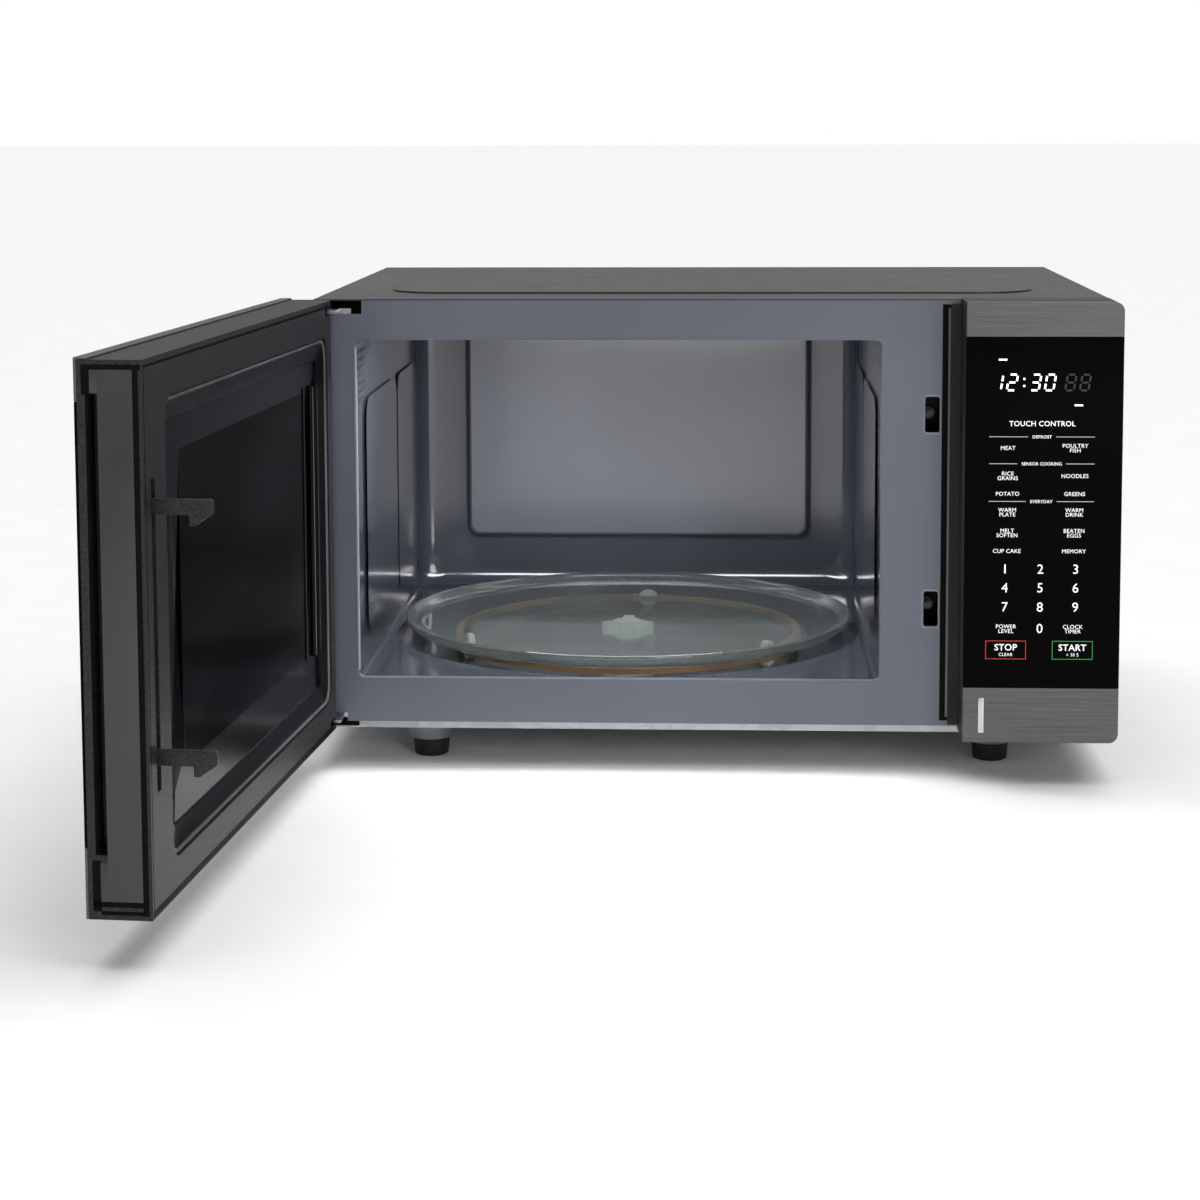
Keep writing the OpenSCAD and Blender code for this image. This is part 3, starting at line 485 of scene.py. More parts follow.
def screws(node, radius, tall):
    """Pan-head screws, each with its cross recess drawn as a dark cross of painted shade just proud of the head,
    standing where the frame's screws stand.
    """
    shank_radius, cross_long, cross_wide, largest_cross_face = 1.7, 3.6, 0.9, 3.5
    bm = bmesh.new()
    for island in islands_of(node):
        low = Vector([min(p[k] for p in island) for k in range(3)])
        high = Vector([max(p[k] for p in island) for k in range(3)])
        x, z = (low.x + high.x) / 2, (low.z + high.z) / 2
        seat = high.y - tall
        rod(bm, (x, low.y, z), (0, 1, 0), shank_radius, seat - low.y + 0.2, 12)
        rod(bm, (x, seat, z), (0, 1, 0), radius, tall, 28, 0.5)
        for wide, upright in ((cross_wide, cross_long), (cross_long, cross_wide)):
            slab(bm, (x - wide / 2, high.y - 0.1, z - upright / 2),
                 (x + wide / 2, high.y + 0.05, z + upright / 2))
    # The cross stands just proud of the head in a dark finish: painted shade of a recess.
    for f in bm.faces:
        painted_shade_cross = f.calc_center_median().y > 0 and abs(f.normal.y) > 0.9
        if painted_shade_cross and f.calc_area() < largest_cross_face:
            f.material_index = 1
    placed(bm, "soft_" + node, body_of(node),
           [MATERIALS["plated_steel"], MATERIALS["coil_dark"]], (node,))


# ---- Front plate and cavity ----

CAVITY = (LINER[0].x + LINER_SHEET, LINER[1].x - LINER_SHEET, 0, LINER[1].z - LINER_SHEET)
CAVITY_FLOOR = BACK[0].z + LINER_SHEET
CAVITY_DEPTH = BACK[1].y - LINER_SHEET
# Outline of the cavity's mouth: x0, x1, z0, z1 and its corners' radius
OUTLINE = (CAVITY[0], CAVITY[1], CAVITY_FLOOR, CAVITY[3], 4)


def front_plate():
    eased("front_plate", 0.35)
    bm = bmesh.new()
    turned_lip = ((-0.7, 0.02), (-0.45, -0.12), (-0.1, -0.1), (0.15, 0.2), (0.3, 1.2), (0.3, 6.0))
    lofted(bm, OUTLINE, turned_lip, 6)
    bmesh.ops.recalc_face_normals(bm, faces=bm.faces[:])
    placed(bm, "cavity_lip", "cabinet", MATERIALS["plate_enamel"], angle=60)
    # A thin flange strip inside the left wall at the mouth, in a lighter copy of the enamel: a painted highlight.
    bm = bmesh.new()
    flange_front, flange_back, end_gap = 1.2, 5.5, 5
    slab(bm, (CAVITY[0] + 0.1, flange_front, CAVITY_FLOOR + end_gap),
         (CAVITY[0] + 1.3, flange_back, CAVITY[3] - end_gap), 0.4, 3)
    placed(bm, "flange_painted_highlight", "cabinet", PAINTED_HIGHLIGHT_ENAMEL, angle=60)
    for name in ("latch_slot_upper", "latch_slot_lower"):
        slot_rim(name)


def slot_rim(opening):
    """Rounded rim pressed round a latch slot, in a lighter copy of the plate's enamel: a painted highlight."""
    box = next(o for o in frame["record"]["physics"]["openings"] if o["name"] == opening)["box_m"]
    low, high = (cabinet_mm(corner) for corner in box)
    outline = (low.x - 0.5, high.x + 0.5, low.z - 0.6, high.z + 0.6, 1.2)
    bm = bmesh.new()
    pressed_rim = ((-1.3, 0.02), (-1.0, -0.3), (-0.5, -0.4), (0.02, -0.1), (0.1, 1.1))
    lofted(bm, outline, pressed_rim, 4)
    bmesh.ops.recalc_face_normals(bm, faces=bm.faces[:])
    placed(bm, opening + "_rim", "cabinet", RIM_HIGHLIGHT_ENAMEL, angle=60)


def pressed_pad(bm, wall, inwards, low, high, radius=16, ramp=3.0, lift=1.7):
    """A panel pressed inwards in a side wall: low and high are its corners in y and z."""
    ring = ring_points(low[0], high[0], low[1], high[1], radius, 8)
    verts = [bm.verts.new((wall + inwards * 0.02, y, z)) for y, z in ring]
    face = bm.faces.new(verts)
    steps = ((ramp * 0.35, lift * 0.5), (ramp * 0.3, lift * 0.36), (ramp * 0.35, lift * 0.14))
    for width, rise in steps:
        bmesh.ops.inset_region(bm, faces=[face], thickness=width, use_even_offset=True)
        bmesh.ops.translate(bm, vec=(inwards * rise, 0, 0), verts=face.verts[:])


def cavity():
    """Liner, with two panels and two upright beads pressed in each side wall, and the back."""
    eased("cavity_liner", 0.6, LINER_ENAMEL)
    floor_z, top_z = CAVITY_FLOOR, CAVITY[3]
    panels = ((41, 197), (203, CAVITY_DEPTH - 34))
    beads, bead_wide = (CAVITY_DEPTH - 28, CAVITY_DEPTH - 20), 6
    for name, wall, inwards in (("left", CAVITY[0], 1), ("right", CAVITY[1], -1)):
        bm = bmesh.new()
        for low_y, high_y in panels:
            pressed_pad(bm, wall, inwards, (low_y, floor_z + 20), (high_y, top_z - 43))
        for y in beads:
            pressed_pad(bm, wall, inwards, (y, floor_z + 16), (y + bead_wide, top_z - 3),
                        2.9, 2.8, 1.5)
        bmesh.ops.recalc_face_normals(bm, faces=bm.faces[:])
        for f in bm.faces:
            if f.normal.x * inwards < 0:
                f.normal_flip()
        placed(bm, f"cavity_pressings_{name}", "cabinet", LINER_ENAMEL, angle=60)
    vent_field()
    back_wall()
    eased("waveguide_cover", 0.3)


def vent_field():
    """Rows of small holes high in the left wall, each drawn as a thin dark disc of painted shade on a wider,
    thinner bright one, a painted highlight that shows round it as an edge."""
    dark, highlight_rims = bmesh.new(), bmesh.new()
    columns, column_pitch, first_column = 27, 5.2, 52
    rows, row_pitch, first_row = 8, 4.5, CAVITY[3] - 40
    hole_radius, highlight_radius = 1.5, 1.9
    for column in range(columns):
        for row in range(rows):
            middle = (CAVITY[0], first_column + column * column_pitch, first_row + row * row_pitch)
            rod(dark, middle, (1, 0, 0), hole_radius, 0.12, 10)
            rod(highlight_rims, middle, (1, 0, 0), highlight_radius, 0.07, 10)
    placed(dark, "vent_holes_painted_shade", "cabinet", SHADOW_GAP, angle=60)
    placed(highlight_rims, "vent_hole_painted_highlights", "cabinet", PAINTED_HIGHLIGHT_ENAMEL, angle=60)


# Outline of the field pressed in the back wall: x0, x1, z0, z1 and its corners' radius
FIELD = (CAVITY[0] + 40, CAVITY[1] - 38, CAVITY_FLOOR + 41, CAVITY[3] - 24, 7)


def back_wall():
    """Back with a quarter-round run into the side walls and a field pressed forwards, whose flat face is coloured
    lighter than the liner: painted light.
    """
    bm = bmesh.new()
    fillet, edge, step, corner = 13, 0.3, 7, 18
    flat = CAVITY_DEPTH - 0.3
    turns = [math.radians(90 * k / 8) for k in range(9)]
    run = [(edge + fillet * (1 - math.cos(turn)), flat - fillet * (1 - math.sin(turn)),
            4 + (corner - 4) * k / 8) for k, turn in enumerate(turns)]
    foot = [(-4 + 3 * math.sin(turn), flat - 3 * (1 - math.cos(turn)), 9) for turn in turns[:8]]
    brow = [(-1 + 2.5 * (1 - math.cos(turn)), flat - step + 2.5 * (1 - math.sin(turn)), 7)
            for turn in turns[1:]]
    outer = lofted(bm, OUTLINE, run, 8)
    inner = lofted(bm, FIELD, foot + brow, 8)
    bmesh.ops.bridge_loops(bm, edges=outer[-1] + inner[0])
    bmesh.ops.contextual_create(bm, geom=inner[-1])
    bmesh.ops.recalc_face_normals(bm, faces=bm.faces[:])
    bm.normal_update()
    middle = max(bm.faces, key=lambda f: f.calc_area())
    if middle.normal.y > 0:
        bmesh.ops.reverse_faces(bm, faces=bm.faces[:])
    for f in bm.faces:
        # The field's large flat faces take the lighter enamel: painted light.
        f.material_index = 1 if f.calc_center_median().y < flat - 3.5 and f.calc_area() > 2000 else 0
    placed(bm, "cavity_back_field", "cabinet", [LINER_ENAMEL, FIELD_PAINTED_LIGHT_ENAMEL],
           ("cavity_back",), angle=60)


# ---- Turntable ----

TRAY_MIDDLE = ((TRAY[0].x + TRAY[1].x) / 2, (TRAY[0].y + TRAY[1].y) / 2)
TRAY_RADIUS = (TRAY[1].x - TRAY[0].x) / 2
TRAY_THICK = 5


def turntable():
    bm = bmesh.new()
    r, low, high = TRAY_RADIUS, TRAY[0].z, TRAY[1].z
    top = low + TRAY_THICK
    profile = [(0.01, low), (r - 16, low), (r - 12, low + 0.4), (r - 8, low + 1.8),
               (r - 3.4, low + 4.4), (r - 0.8, low + 7.0), (r, high - 2.4), (r - 0.2, high - 1.0),
               (r - 1.1, high - 0.15), (r - 2.2, high - 0.1), (r - 3.1, high - 0.8),
               (r - 4.4, high - 2.6), (r - 7.2, top + 1.3), (r - 11, top + 0.3), (r - 15, top),
               (0.01, top)]
    spun(bm, profile, 160)
    bmesh.ops.translate(bm, vec=(*TRAY_MIDDLE, 0), verts=bm.verts[:])
    placed(bm, "glass_tray", "turntable_tray", MATERIALS["tray_glass"],
           ("turntable_glass",), angle=50)
    stipple_band()
    eased("roller_ring", 0.7, segments=3)
    eased("turntable_coupler", 1.2, segments=3)
    for k in (1, 2, 3):
        roller_wheel(k)


def stipple_band():
    """Short moulded ribs round the tray's rim, which scatter the light as the pressed glass does."""
    bm = bmesh.new()
    count = 150
    ring = TRAY_RADIUS - 5.2
    low = TRAY[0].z + 2.2
    for k in range(count):
        turn = math.tau * k / count
        place = Matrix.Translation((*TRAY_MIDDLE, 0)) @ Matrix.Rotation(turn, 4, "Z")
        place @= Matrix.Translation((ring, 0, low + 1.5)) @ Matrix.Rotation(math.radians(-38), 4, "Y")
        place @= Matrix.Diagonal((3.6, 0.9, 0.45, 1))
        bmesh.ops.create_icosphere(bm, subdivisions=1, radius=1, matrix=place)
    placed(bm, "tray_rim_ribs", "turntable_tray", MATERIALS["tray_glass"], angle=80)


def roller_wheel(number):
    """A small wheel with a hub and a tread that stand proud of its web."""
    node = f"roller_wheel_{number}"
    low, high = span(node)
    axle = Vector(joints[f"wheel_{number}_spin"]["axis"]).normalized()
    radius, half = (high.z - low.z) / 2, 2.5
    bore, hub, web = 1.8, 3.2, half - 0.9
    profile = [(bore, -half), (hub, -half), (hub + 0.4, -web), (radius - 1.6, -web),
               (radius - 1.2, -half), (radius - 0.5, -half), (radius, -half + 0.6),
               (radius, half - 0.6), (radius - 0.5, half), (radius - 1.2, half),
               (radius - 1.6, web), (hub + 0.4, web), (hub, half), (bore, half)]
    bm = bmesh.new()
    spun(bm, profile, 48)
    middle = Matrix.Translation((low + high) / 2)
    turned = middle @ axle.to_track_quat("Z", "Y").to_matrix().to_4x4()
    bmesh.ops.transform(bm, matrix=turned, verts=bm.verts[:])
    placed(bm, f"wheel_{number}_tyre", f"wheel_{number}",
           MATERIALS["white_plastic"], (node,), angle=35)


# ---- Control panel ----

PANEL_LEFT, PANEL_RIGHT = GLASS[0].x, GLASS[1].x
PANEL_FACE = GLASS[0].y
PANEL_MIDDLE = (PANEL_LEFT + PANEL_RIGHT) / 2
# Legends stand this far off the glass, lie a little left of its middle, and spread upwards
# from the panel's foot
PRINT_LIFT = 0.12
PRINT_SHIFT = 1.2
PRINT_RISE, PRINT_FOOT = 0.011, 20


def print_rise(z):
    return PRINT_RISE * (z - PRINT_FOOT)


def control_panel():
    eased("control_housing", 0.5)
    eased("control_trim_top", 0.55, segments=3)
    eased("control_trim_bottom", 0.55, segments=3)
    eased("control_glass", 0.4)
    touch_layout()
    readout()
    emblem_bar()
    side_ledge()


def lettering(bm, text, x, z, size, weight=0.0):
    """Text centred on a point of the panel's face, as flat faces just proud of the glass."""
    curve = bpy.data.curves.new("label", "FONT")
    curve.body = text
    curve.size = size
    curve.offset = size * weight
    curve.space_line = 0.82
    curve.space_character = 1.05
    curve.align_x, curve.align_y = "CENTER", "CENTER"
    curve.resolution_u = 3
    holder = bpy.data.objects.new("label", curve)
    bpy.context.scene.collection.objects.link(holder)
    bpy.context.view_layer.update()
    flat = bpy.data.meshes.new_from_object(holder)
    bpy.data.objects.remove(holder)
    middle = (max(v.co.y for v in flat.vertices) + min(v.co.y for v in flat.vertices)) / 2
    place = Matrix.Translation((x - PRINT_SHIFT, PANEL_FACE - PRINT_LIFT, z + print_rise(z)))
    flat.transform(place @ Matrix.Rotation(math.pi / 2, 4, "X")
                   @ Matrix.Translation((0, -middle, 0)))
    bm.from_mesh(flat)
    bpy.data.meshes.remove(flat)


def printed_line(bm, x0, x1, z, thick):
    z += print_rise(z)
    slab(bm, (x0 - PRINT_SHIFT, PANEL_FACE - PRINT_LIFT, z - thick / 2),
         (x1 - PRINT_SHIFT, PANEL_FACE + 0.05, z + thick / 2))


def outlined_key(bm, x0, x1, z0, z1, line=0.4):
    """Printed outline of a touch key."""
    for z in (z0, z1):
        printed_line(bm, x0 - line / 2, x1 + line / 2, z, line)
    for x in (x0, x1):
        foot, head = z0 + print_rise(z0) + line / 2, z1 + print_rise(z1) - line / 2
        slab(bm, (x - PRINT_SHIFT - line / 2, PANEL_FACE - PRINT_LIFT, foot),
             (x - PRINT_SHIFT + line / 2, PANEL_FACE + 0.05, head))


# Height, left word and right word of each row of legends, and the headings with their rules
LABEL_ROWS = ((214.8, "MEAT", "POULTRY\nFISH"), (197.3, "RICE\nGRAINS", "NOODLES"),
              (186.0, "POTATO", "GREENS"), (174.4, "WARM\nPLATE", "WARM\nDRINK"),
              (161.3, "MELT\nSOFTEN", "BEATEN\nEGGS"), (149.9, "CUP CAKE", "MEMORY"),
              (100.6, "POWER\nLEVEL", "CLOCK\nTIMER"))
HEADINGS = ((221.8, "DEFROST"), (204.9, "SENSOR COOKING"), (181.2, "EVERYDAY"))


def touch_layout():
    """The printed legends: generic words and figures only, with a painted glow."""
    white = bmesh.new()
    rules = bmesh.new()
    left_x, right_x = PANEL_MIDDLE - 21.2, PANEL_MIDDLE + 20.8
    lettering(white, "TOUCH CONTROL", PANEL_MIDDLE, 230.1, 4.6, 0.008)
    for z, word in HEADINGS:
        lettering(white, word, PANEL_MIDDLE, z, 2.8, 0.005)
        half = 0.93 * len(word) + 2.2
        printed_line(rules, PANEL_MIDDLE - 33, PANEL_MIDDLE - half, z, 0.38)
        printed_line(rules, PANEL_MIDDLE + half, PANEL_MIDDLE + 33, z, 0.38)
    for z, left_word, right_word in LABEL_ROWS:
        lettering(white, left_word, left_x, z, 3.6)
        lettering(white, right_word, right_x, z, 3.6)
    figure_size, figure_pitch = 8.6, 22.2
    for z, figures in ((138.6, "123"), (126.7, "456"), (114.5, "789")):
        for column, figure in enumerate(figures):
            lettering(white, figure, PANEL_MIDDLE + (column - 1) * figure_pitch, z, figure_size)
    lettering(white, "0", PANEL_MIDDLE, 100.9, figure_size)
    for word, under, x in (("STOP", "CLEAR", left_x), ("START", "+ 30 S", right_x)):
        lettering(white, word, x, 88.8, 5.8, 0.012)
        lettering(white, under, x, 84.2, 2.9)
    placed(white, "panel_legends", "cabinet", PRINT_WHITE_PAINTED_GLOW, angle=80)
    placed(rules, "panel_rules", "cabinet", PRINT_GREY_PAINTED_GLOW, angle=80)
    for name, middle, material in (("stop_outline", left_x, PRINT_RED_PAINTED_GLOW),
                                   ("start_outline", right_x, PRINT_GREEN_PAINTED_GLOW)):
        bm = bmesh.new()
        key_half, key_low, key_high = 12.6, 81.4, 92.8
        outlined_key(bm, middle - key_half, middle + key_half, key_low, key_high)
        placed(bm, name, "cabinet", material, angle=80)


# Segments of a figure, each between two of its six corners: 0-1 top, 2-3 middle, 4-5 bottom
SEGMENTS = {"top": (0, 1), "upper_left": (0, 2), "upper_right": (1, 3), "middle": (2, 3),
            "lower_left": (2, 4), "lower_right": (3, 5), "bottom": (4, 5)}
FIGURES = {
    "0": ("top", "upper_left", "upper_right", "lower_left", "lower_right", "bottom"),
    "1": ("upper_right", "lower_right"),
    "2": ("top", "upper_right", "middle", "lower_left", "bottom"),
    "3": ("top", "upper_right", "middle", "lower_right", "bottom"),
    "5": ("top", "upper_left", "middle", "lower_right", "bottom"),
    "8": tuple(SEGMENTS),
}


def figure_segments(bm, figure, x, z):
    """One slanted seven-segment figure of the readout."""
    wide, tall, slant, stroke = 5.4, 9.9, 0.16, 1.15
    corners = [Vector((x + sx * wide / 2 + slant * sz * tall / 2, PANEL_FACE, z + sz * tall / 2))
               for sz in (1, 0, -1) for sx in (-1, 1)]
    for name in FIGURES[figure]:
        a, b = (corners[k] for k in SEGMENTS[name])
        along = b - a
        turned = along.to_track_quat("X", "Y").to_matrix().to_4x4()
        length = along.length - 1.7
        place = Matrix.Translation((a + b) / 2) @ turned
        place @= Matrix.Diagonal((length, stroke, stroke, 1))
        bmesh.ops.create_cube(bm, size=1, matrix=place)
    for v in bm.verts:
        v.co.y = PANEL_FACE - PRINT_LIFT if v.co.y < PANEL_FACE else PANEL_FACE + 0.02


def readout():
    """Lit figures, a row of unlit ones that glow faintly as a painted glow, and two small indicators."""
    lit_bm, unlit_bm = bmesh.new(), bmesh.new()
    first, pitch, row = PANEL_LEFT + 19.9, 9.1, 258.4
    for k, figure in enumerate("1230"):
        figure_segments(lit_bm, figure, first + (k if k < 2 else k + 0.6) * pitch, row)
    colon_x, dot = first + 1.75 * pitch, 1.2
    for dz in (-2.2, 2.2):
        slab(lit_bm, (colon_x, PANEL_FACE - PRINT_LIFT, row + dz - dot / 2),
             (colon_x + dot, PANEL_FACE + 0.02, row + dz + dot / 2))
    for x, z in ((185.8, 270.0), (233.4, 241.6)):
        printed_line(lit_bm, x - 2.6, x + 2.6, z, 1.0)
    for k in (5, 6):
        figure_segments(unlit_bm, "8", first + k * pitch, row)
    placed(lit_bm, "readout_lit", "cabinet", DISPLAY_LIT, angle=80)
    placed(unlit_bm, "readout_unlit_painted_glow", "cabinet", DISPLAY_UNLIT_PAINTED_GLOW, angle=80)


def side_ledge():
    """Narrow grey return between the front plate and the control panel, on a dark inlay of painted shade for its
    gap.
    """
    foot, head = 33.0, 304.8
    for name, low_x, high_x, front, inset, material in (
            ("ledge_shadow", 149.9, 161.4, -0.15, 0, SHADOW_GAP),
            ("side_ledge", 153.7, 160.5, -0.7, 2.5, LEDGE_GREY)):
        bm = bmesh.new()
        slab(bm, (low_x, front, foot + inset), (high_x, 0.4, head - inset), 0.05)
        placed(bm, name, "cabinet", material)


def emblem_bar():
    """One plain upright chrome bead on the lower strip."""
    bm = bmesh.new()
    x, z0, z1, half = 173.3, 34.1, 56.9, 1.9
    slab(bm, (x - half, PANEL_FACE - 0.8, z0), (x + half, PANEL_FACE + 0.2, z1), 0.75, 4)
    placed(bm, "trim_bead", "cabinet", CHROME, angle=60)


# ---- Door ----

# Outlines: x0, x1, z0, z1 and the corners' radius
FILM_EDGE = 8
CHOKE_OUTLINE = (CHOKE[0].x, CHOKE[1].x, CHOKE[0].z, CHOKE[1].z, 12)
WINDOW = (FILM[0].x + FILM_EDGE, FILM[1].x - FILM_EDGE, FILM[0].z + FILM_EDGE,
          FILM[1].z - FILM_EDGE, 6)


def door():
    eased("door_frame", 0.7, segments=3)
    eased("door_glass", 0.4)
    eased("door_trim_top", 0.4)
    eased("door_trim_bottom", 0.4)
    eased("latch_lever", 0.6, segments=3)
    choke_cover()
    perforated_screen()
    eased("door_window_film", 0.15)
    edge_strip()
    frame_joints()


def choke_cover():
    """Moulded ring round the window: a rounded brow, a long slope and a glossy step to the film; the top of the
    brow is in a lighter gloss, a painted highlight.
    """
    bm = bmesh.new()
    x0, x1, z0, z1, _ = CHOKE_OUTLINE
    window_x0, _, window_z0, window_z1, _ = WINDOW
    y_top, y_low = CHOKE[1].y, CHOKE[0].y
    slope, ridge = 13, 0.75
    brow = ((0, y_low, 12), (0, y_top - 1.6, 12), (0.5, y_top - 0.5, 12), (1.4, y_top, 11.5),
            (2.2, y_top - 0.3, 11), (2.8, y_top - 1.0, 11), (slope - 1, y_top - 3.6, 9),
            (slope, y_top - 3.9, 8.5), (slope + 0.6, y_top - 4.4, 8), (slope + 0.9, y_low + 0.3, 8))
    loops = lofted(bm, CHOKE_OUTLINE, brow, 10)
    inner = loop_y(bm, WINDOW, 0, y_low + 0.3, 10)
    bmesh.ops.bridge_loops(bm, edges=loops[-1] + inner)
    rim = loop_y(bm, WINDOW, 0, y_low - 1.2, 10)
    bmesh.ops.bridge_loops(bm, edges=inner + rim)
    bmesh.ops.recalc_face_normals(bm, faces=bm.faces[:])
    bm.normal_update()
    for f in bm.faces:
        middle = f.calc_center_median()
        in_x = min(middle.x - x0, x1 - middle.x)
        in_z = min(middle.z - z0, z1 - middle.z)
        f.material_index = 1 if min(in_x, in_z) > slope else 0
        # The top of the brow takes the lighter gloss: a painted highlight.
        if middle.y > y_top - ridge:
            f.material_index = 2
    placed(bm, "choke_ring", "door", [SLOPE_GLOSS, CHOKE_GLOSS, PAINTED_HIGHLIGHT_GLOSS],
           ("door_choke_cover",), on_door=True, angle=40)
    choke_ribs(window_x0, window_z0, window_z1, y_low)


def choke_ribs(edge, z0, z1, y):
    """Upright ribs on the hinge side, between the window and the brow; their tops are in a lighter gloss, a
    painted highlight.
    """
    bm = bmesh.new()
    past_window = 3
    for x, half in ((edge - 14.5, 2.2), (edge - 31.5, 1.1), (edge + 3.0, 0.7)):
        slab(bm, (x - half, y - 0.5, z0 - past_window),
             (x + half, y + 0.3 + 1.2 * half, z1 + past_window), half * 0.9, 4)
    for f in bm.faces:
        # The tops of the ribs take the lighter gloss: a painted highlight.
        f.material_index = 1 if f.normal.y > 0.93 else 0
    placed(bm, "choke_ribs", "door", [CHOKE_GLOSS, PAINTED_HIGHLIGHT_GLOSS], on_door=True, angle=40)


def perforated_screen():
    """Steel sheet with staggered holes behind the film."""
    pitch, hole = 2.1, 0.72
    x0, x1, z0, z1, _ = WINDOW
    margin = 5
    row = pitch * math.sqrt(3)
    y = SCREEN[1].y
    bm = bmesh.new()
    upright = Matrix.Rotation(-math.pi / 2, 4, "X")
    for dx, dz in ((0, 0), (pitch / 2, row / 2)):
        place = Matrix.Translation((x0 - margin + dx, y, z0 - margin + dz)) @ upright
        outer = bmesh.ops.create_circle(bm, segments=6, radius=pitch / math.sqrt(3),
                                        matrix=place @ Matrix.Rotation(math.pi / 6, 4, "Z"))["verts"]
        inner = bmesh.ops.create_circle(bm, segments=6, radius=hole,
                                        matrix=place @ Matrix.Rotation(math.pi / 6, 4, "Z"))["verts"]
        bmesh.ops.bridge_loops(bm, edges=edges_of(outer + inner))
    for f in bm.faces:
        if f.normal.y < 0:
            f.normal_flip()
    bmesh.ops.transform(bm, matrix=TO_FRAME, verts=bm.verts[:])
    cell = bpy.data.meshes.new("screen_cell")
    bm.to_mesh(cell)
    bm.free()
    holder = bpy.data.objects.new("screen_cell", cell)
    bpy.context.scene.collection.objects.link(holder)
    for name, count, step in (("across", int((x1 - x0 + 2 * margin) / pitch), (pitch * MM, 0, 0)),
                              ("up", int((z1 - z0 + 2 * margin) / row), (0, 0, row * MM))):
        array = holder.modifiers.new(name, "ARRAY")
        array.count = count
        array.use_relative_offset = False
        array.use_constant_offset = True
        array.constant_offset_displace = step
    bpy.context.view_layer.update()
    graph = bpy.context.evaluated_depsgraph_get()
    whole = bpy.data.meshes.new_from_object(holder.evaluated_get(graph))
    bpy.data.objects.remove(holder)
    bm = bmesh.new()
    bm.from_mesh(whole)
    bmesh.ops.transform(bm, matrix=TO_FRAME.inverted(), verts=bm.verts[:])
    bmesh.ops.remove_doubles(bm, verts=bm.verts[:], dist=0.02)
    placed(bm, "screen_mesh", "door", MATERIALS["screen_steel"], ("door_screen",),
           on_door=True, angle=80)


def edge_strip():
    """The free end: a satin strip beside the grip groove, and the gaps that frame it drawn dark as painted shade,
    as thin inlays that stand just proud of the frame."""
    x, face = FRAME[1].x, FRAME[0].y
    low, high = FRAME[0].z, FRAME[1].z
    tall = high - low
    strip_proud, gap_proud = 0.16, 0.08
    # Depths back from the frame's front face, then heights above its foot
    strips = ((10.4, 28.2, 9.4, tall - 5.0), (6.6, 10.5, 9.4, 29.2),
              (6.6, 10.5, tall - 16.4, tall - 5.0))
    painted_shade_gaps = ((2.4, 32.3, tall - 5.2, tall - 2.4), (2.4, 6.8, tall - 17.4, tall - 5.0),
                 (2.4, 6.8, 4.4, 30.4), (2.4, 28.6, 6.6, 9.6), (6.7, 28.6, 2.6, 4.6),
                 (28.2, 31.2, 2.4, 276.0))
    strip, gaps = bmesh.new(), bmesh.new()
    for y0, y1, z0, z1 in strips:
        slab(strip, (x - 1, face + y0, low + z0), (x + strip_proud, face + y1, low + z1), 0.06)
    for y0, y1, z0, z1 in painted_shade_gaps:
        slab(gaps, (x - 1, face + y0, low + z0), (x + gap_proud, face + y1, low + z1))
    placed(strip, "edge_strip", "door", EDGE_SATIN, on_door=True)
    placed(gaps, "edge_gaps_painted_shade", "door", SHADOW_GAP, on_door=True)


def frame_joints():
    """Shadow lines where the inner frame meets the door's top, foot and free end, as thin inlays."""
    bm = bmesh.new()
    inner, x0, x1 = FRAME[1].y, FRAME[0].x, FRAME[1].x
    low, high = FRAME[0].z, FRAME[1].z
    slab(bm, (x0 + 12, inner - 0.3, high - 4.4), (x1 - 3, inner + 0.05, high - 2.9))
    slab(bm, (x0 + 16, inner - 0.3, low + 1.0), (x1 - 1.2, inner + 0.05, low + 4.6))
    slab(bm, (x1 - 3.2, inner - 0.3, low + 4.6), (x1 - 2.2, inner + 0.05, high - 2.9))
    placed(bm, "frame_joints", "door", SHADOW_GAP, on_door=True)


# ---- Build ----

cabinet()
screws("case_screws", 3.75, 1.8)
screws("bracket_screws", 3.5, 2.0)
front_plate()
cavity()
turntable()
control_panel()
door()

# ---- Floor, backdrop and light ----


def studio_floor():
    """A wide pale floor, in metres."""
    bm = bmesh.new()
    bmesh.ops.create_grid(bm, x_segments=8, y_segments=8, size=40)
    mesh = bpy.data.meshes.new("studio_floor")
    bm.to_mesh(mesh)
    bm.free()
    floor = bpy.data.objects.new("studio_floor", mesh)
    bpy.context.scene.collection.objects.link(floor)
    mesh.materials.append(moulded("floor_white", "f3f3f3", "f6f6f6", 0.9, 40, 0.0001))


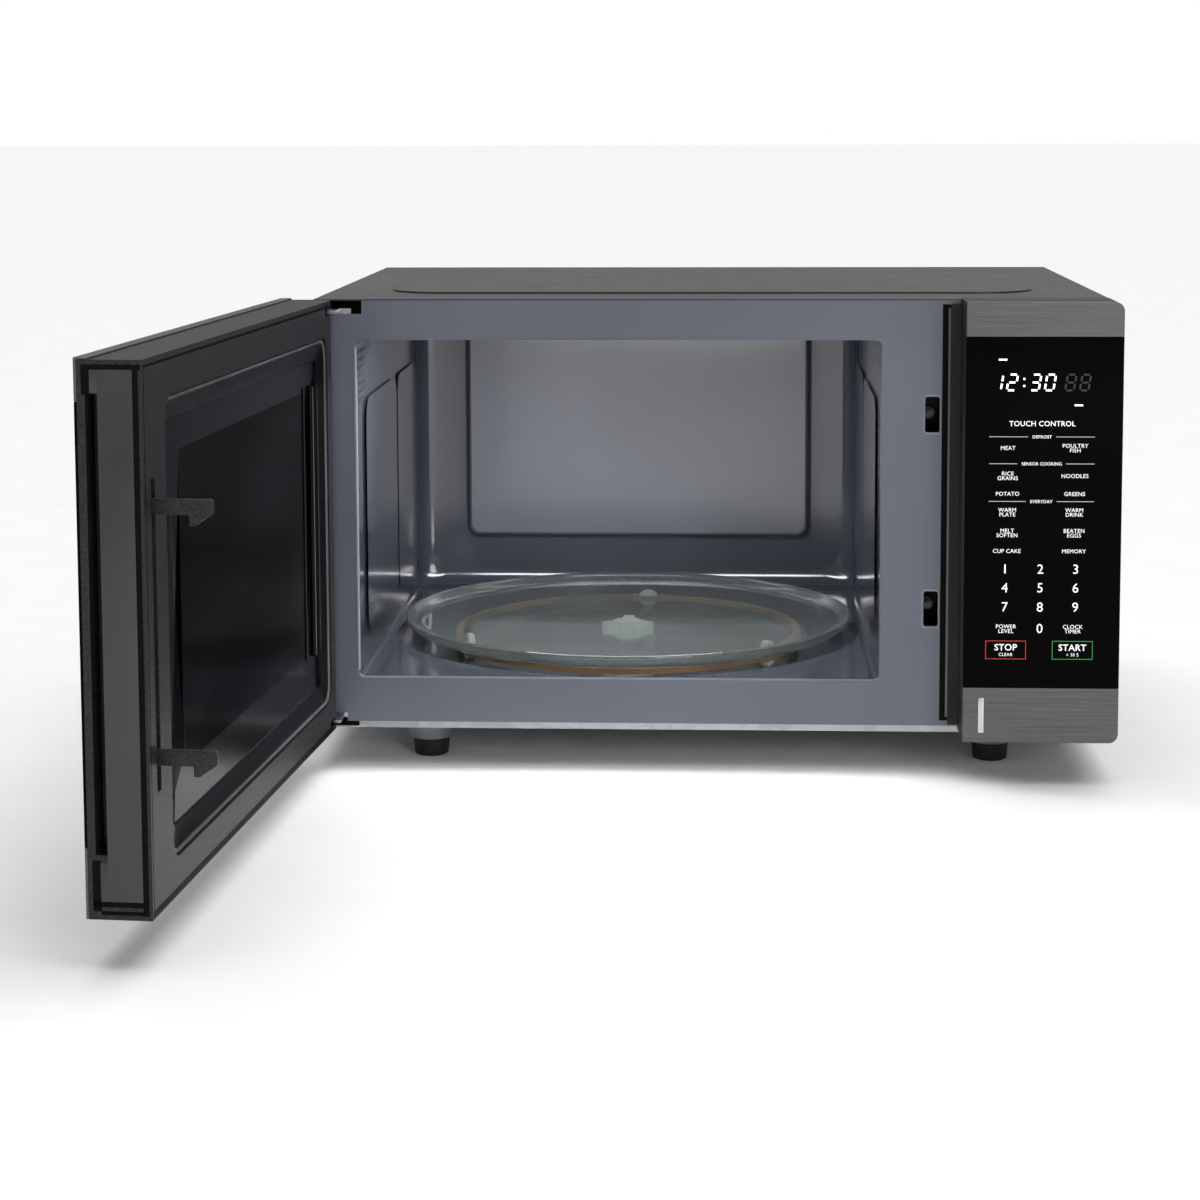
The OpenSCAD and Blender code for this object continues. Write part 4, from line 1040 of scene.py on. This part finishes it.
def area_light(name, place, aim, size, power, size_y=None):
    """A rectangular lamp at a place in metres, turned towards a point, with its power in watts."""
    data = bpy.data.lights.new(name, "AREA")
    data.shape = "RECTANGLE"
    data.size, data.size_y = size, size_y or size
    data.energy = power
    light = bpy.data.objects.new(name, data)
    light.location = place
    light.rotation_euler = (Vector(aim) - Vector(place)).to_track_quat("-Z", "Y").to_euler()
    bpy.context.scene.collection.objects.link(light)


FRONT_AMBIENT, BACK_AMBIENT = 0.12, 0.34


def studio_world():
    """Plain white backdrop whose light is soft from behind and above, and faint from the front."""
    world = bpy.data.worlds.new("studio")
    bpy.context.scene.world = world
    world.use_nodes = True
    tree = world.node_tree
    place = tree.nodes.new("ShaderNodeTexCoord")
    parts = tree.nodes.new("ShaderNodeSeparateXYZ")
    fade = tree.nodes.new("ShaderNodeMapRange")
    for socket, value in (("From Min", -0.6), ("From Max", 0.5),
                          ("To Min", FRONT_AMBIENT), ("To Max", BACK_AMBIENT)):
        fade.inputs[socket].default_value = value
    seen = tree.nodes.new("ShaderNodeLightPath")
    strength = tree.nodes.new("ShaderNodeMix")
    strength.inputs["B"].default_value = 1.0
    tree.links.new(place.outputs["Generated"], parts.inputs["Vector"])
    tree.links.new(parts.outputs["Y"], fade.inputs["Value"])
    tree.links.new(seen.outputs["Is Camera Ray"], strength.inputs["Factor"])
    tree.links.new(fade.outputs["Result"], strength.inputs["A"])
    tree.links.new(strength.outputs["Result"], tree.nodes["Background"].inputs["Strength"])
    tree.nodes["Background"].inputs["Color"].default_value = (1, 1, 1, 1)


def studio_light():
    studio_world()
    sun = bpy.data.lights.new("skylight", "SUN")
    sun.energy = 2.6
    sun.angle = math.radians(75)
    holder = bpy.data.objects.new("skylight", sun)
    holder.rotation_euler = (math.radians(-12), math.radians(8), 0)
    bpy.context.scene.collection.objects.link(holder)
    area_light("front_right", (1.2, -2.5, 0.9), (0, 0.2, 0.15), 1.0, 17)
    area_light("front_left", (-1.5, -2.2, 1.4), (0, 0.1, 0.15), 1.2, 4)
    area_light("door_glow", (0.35, -0.75, 1.05), (-0.25, -0.2, 0.25), 0.5, 1.2)
    area_light("oven_glow", (-0.04, 0.09, 0.274), (-0.04, 0.14, 0.0), 0.3, 1.3, 0.1)


studio_floor()
studio_light()
bpy.context.scene.view_settings.view_transform = "Standard"
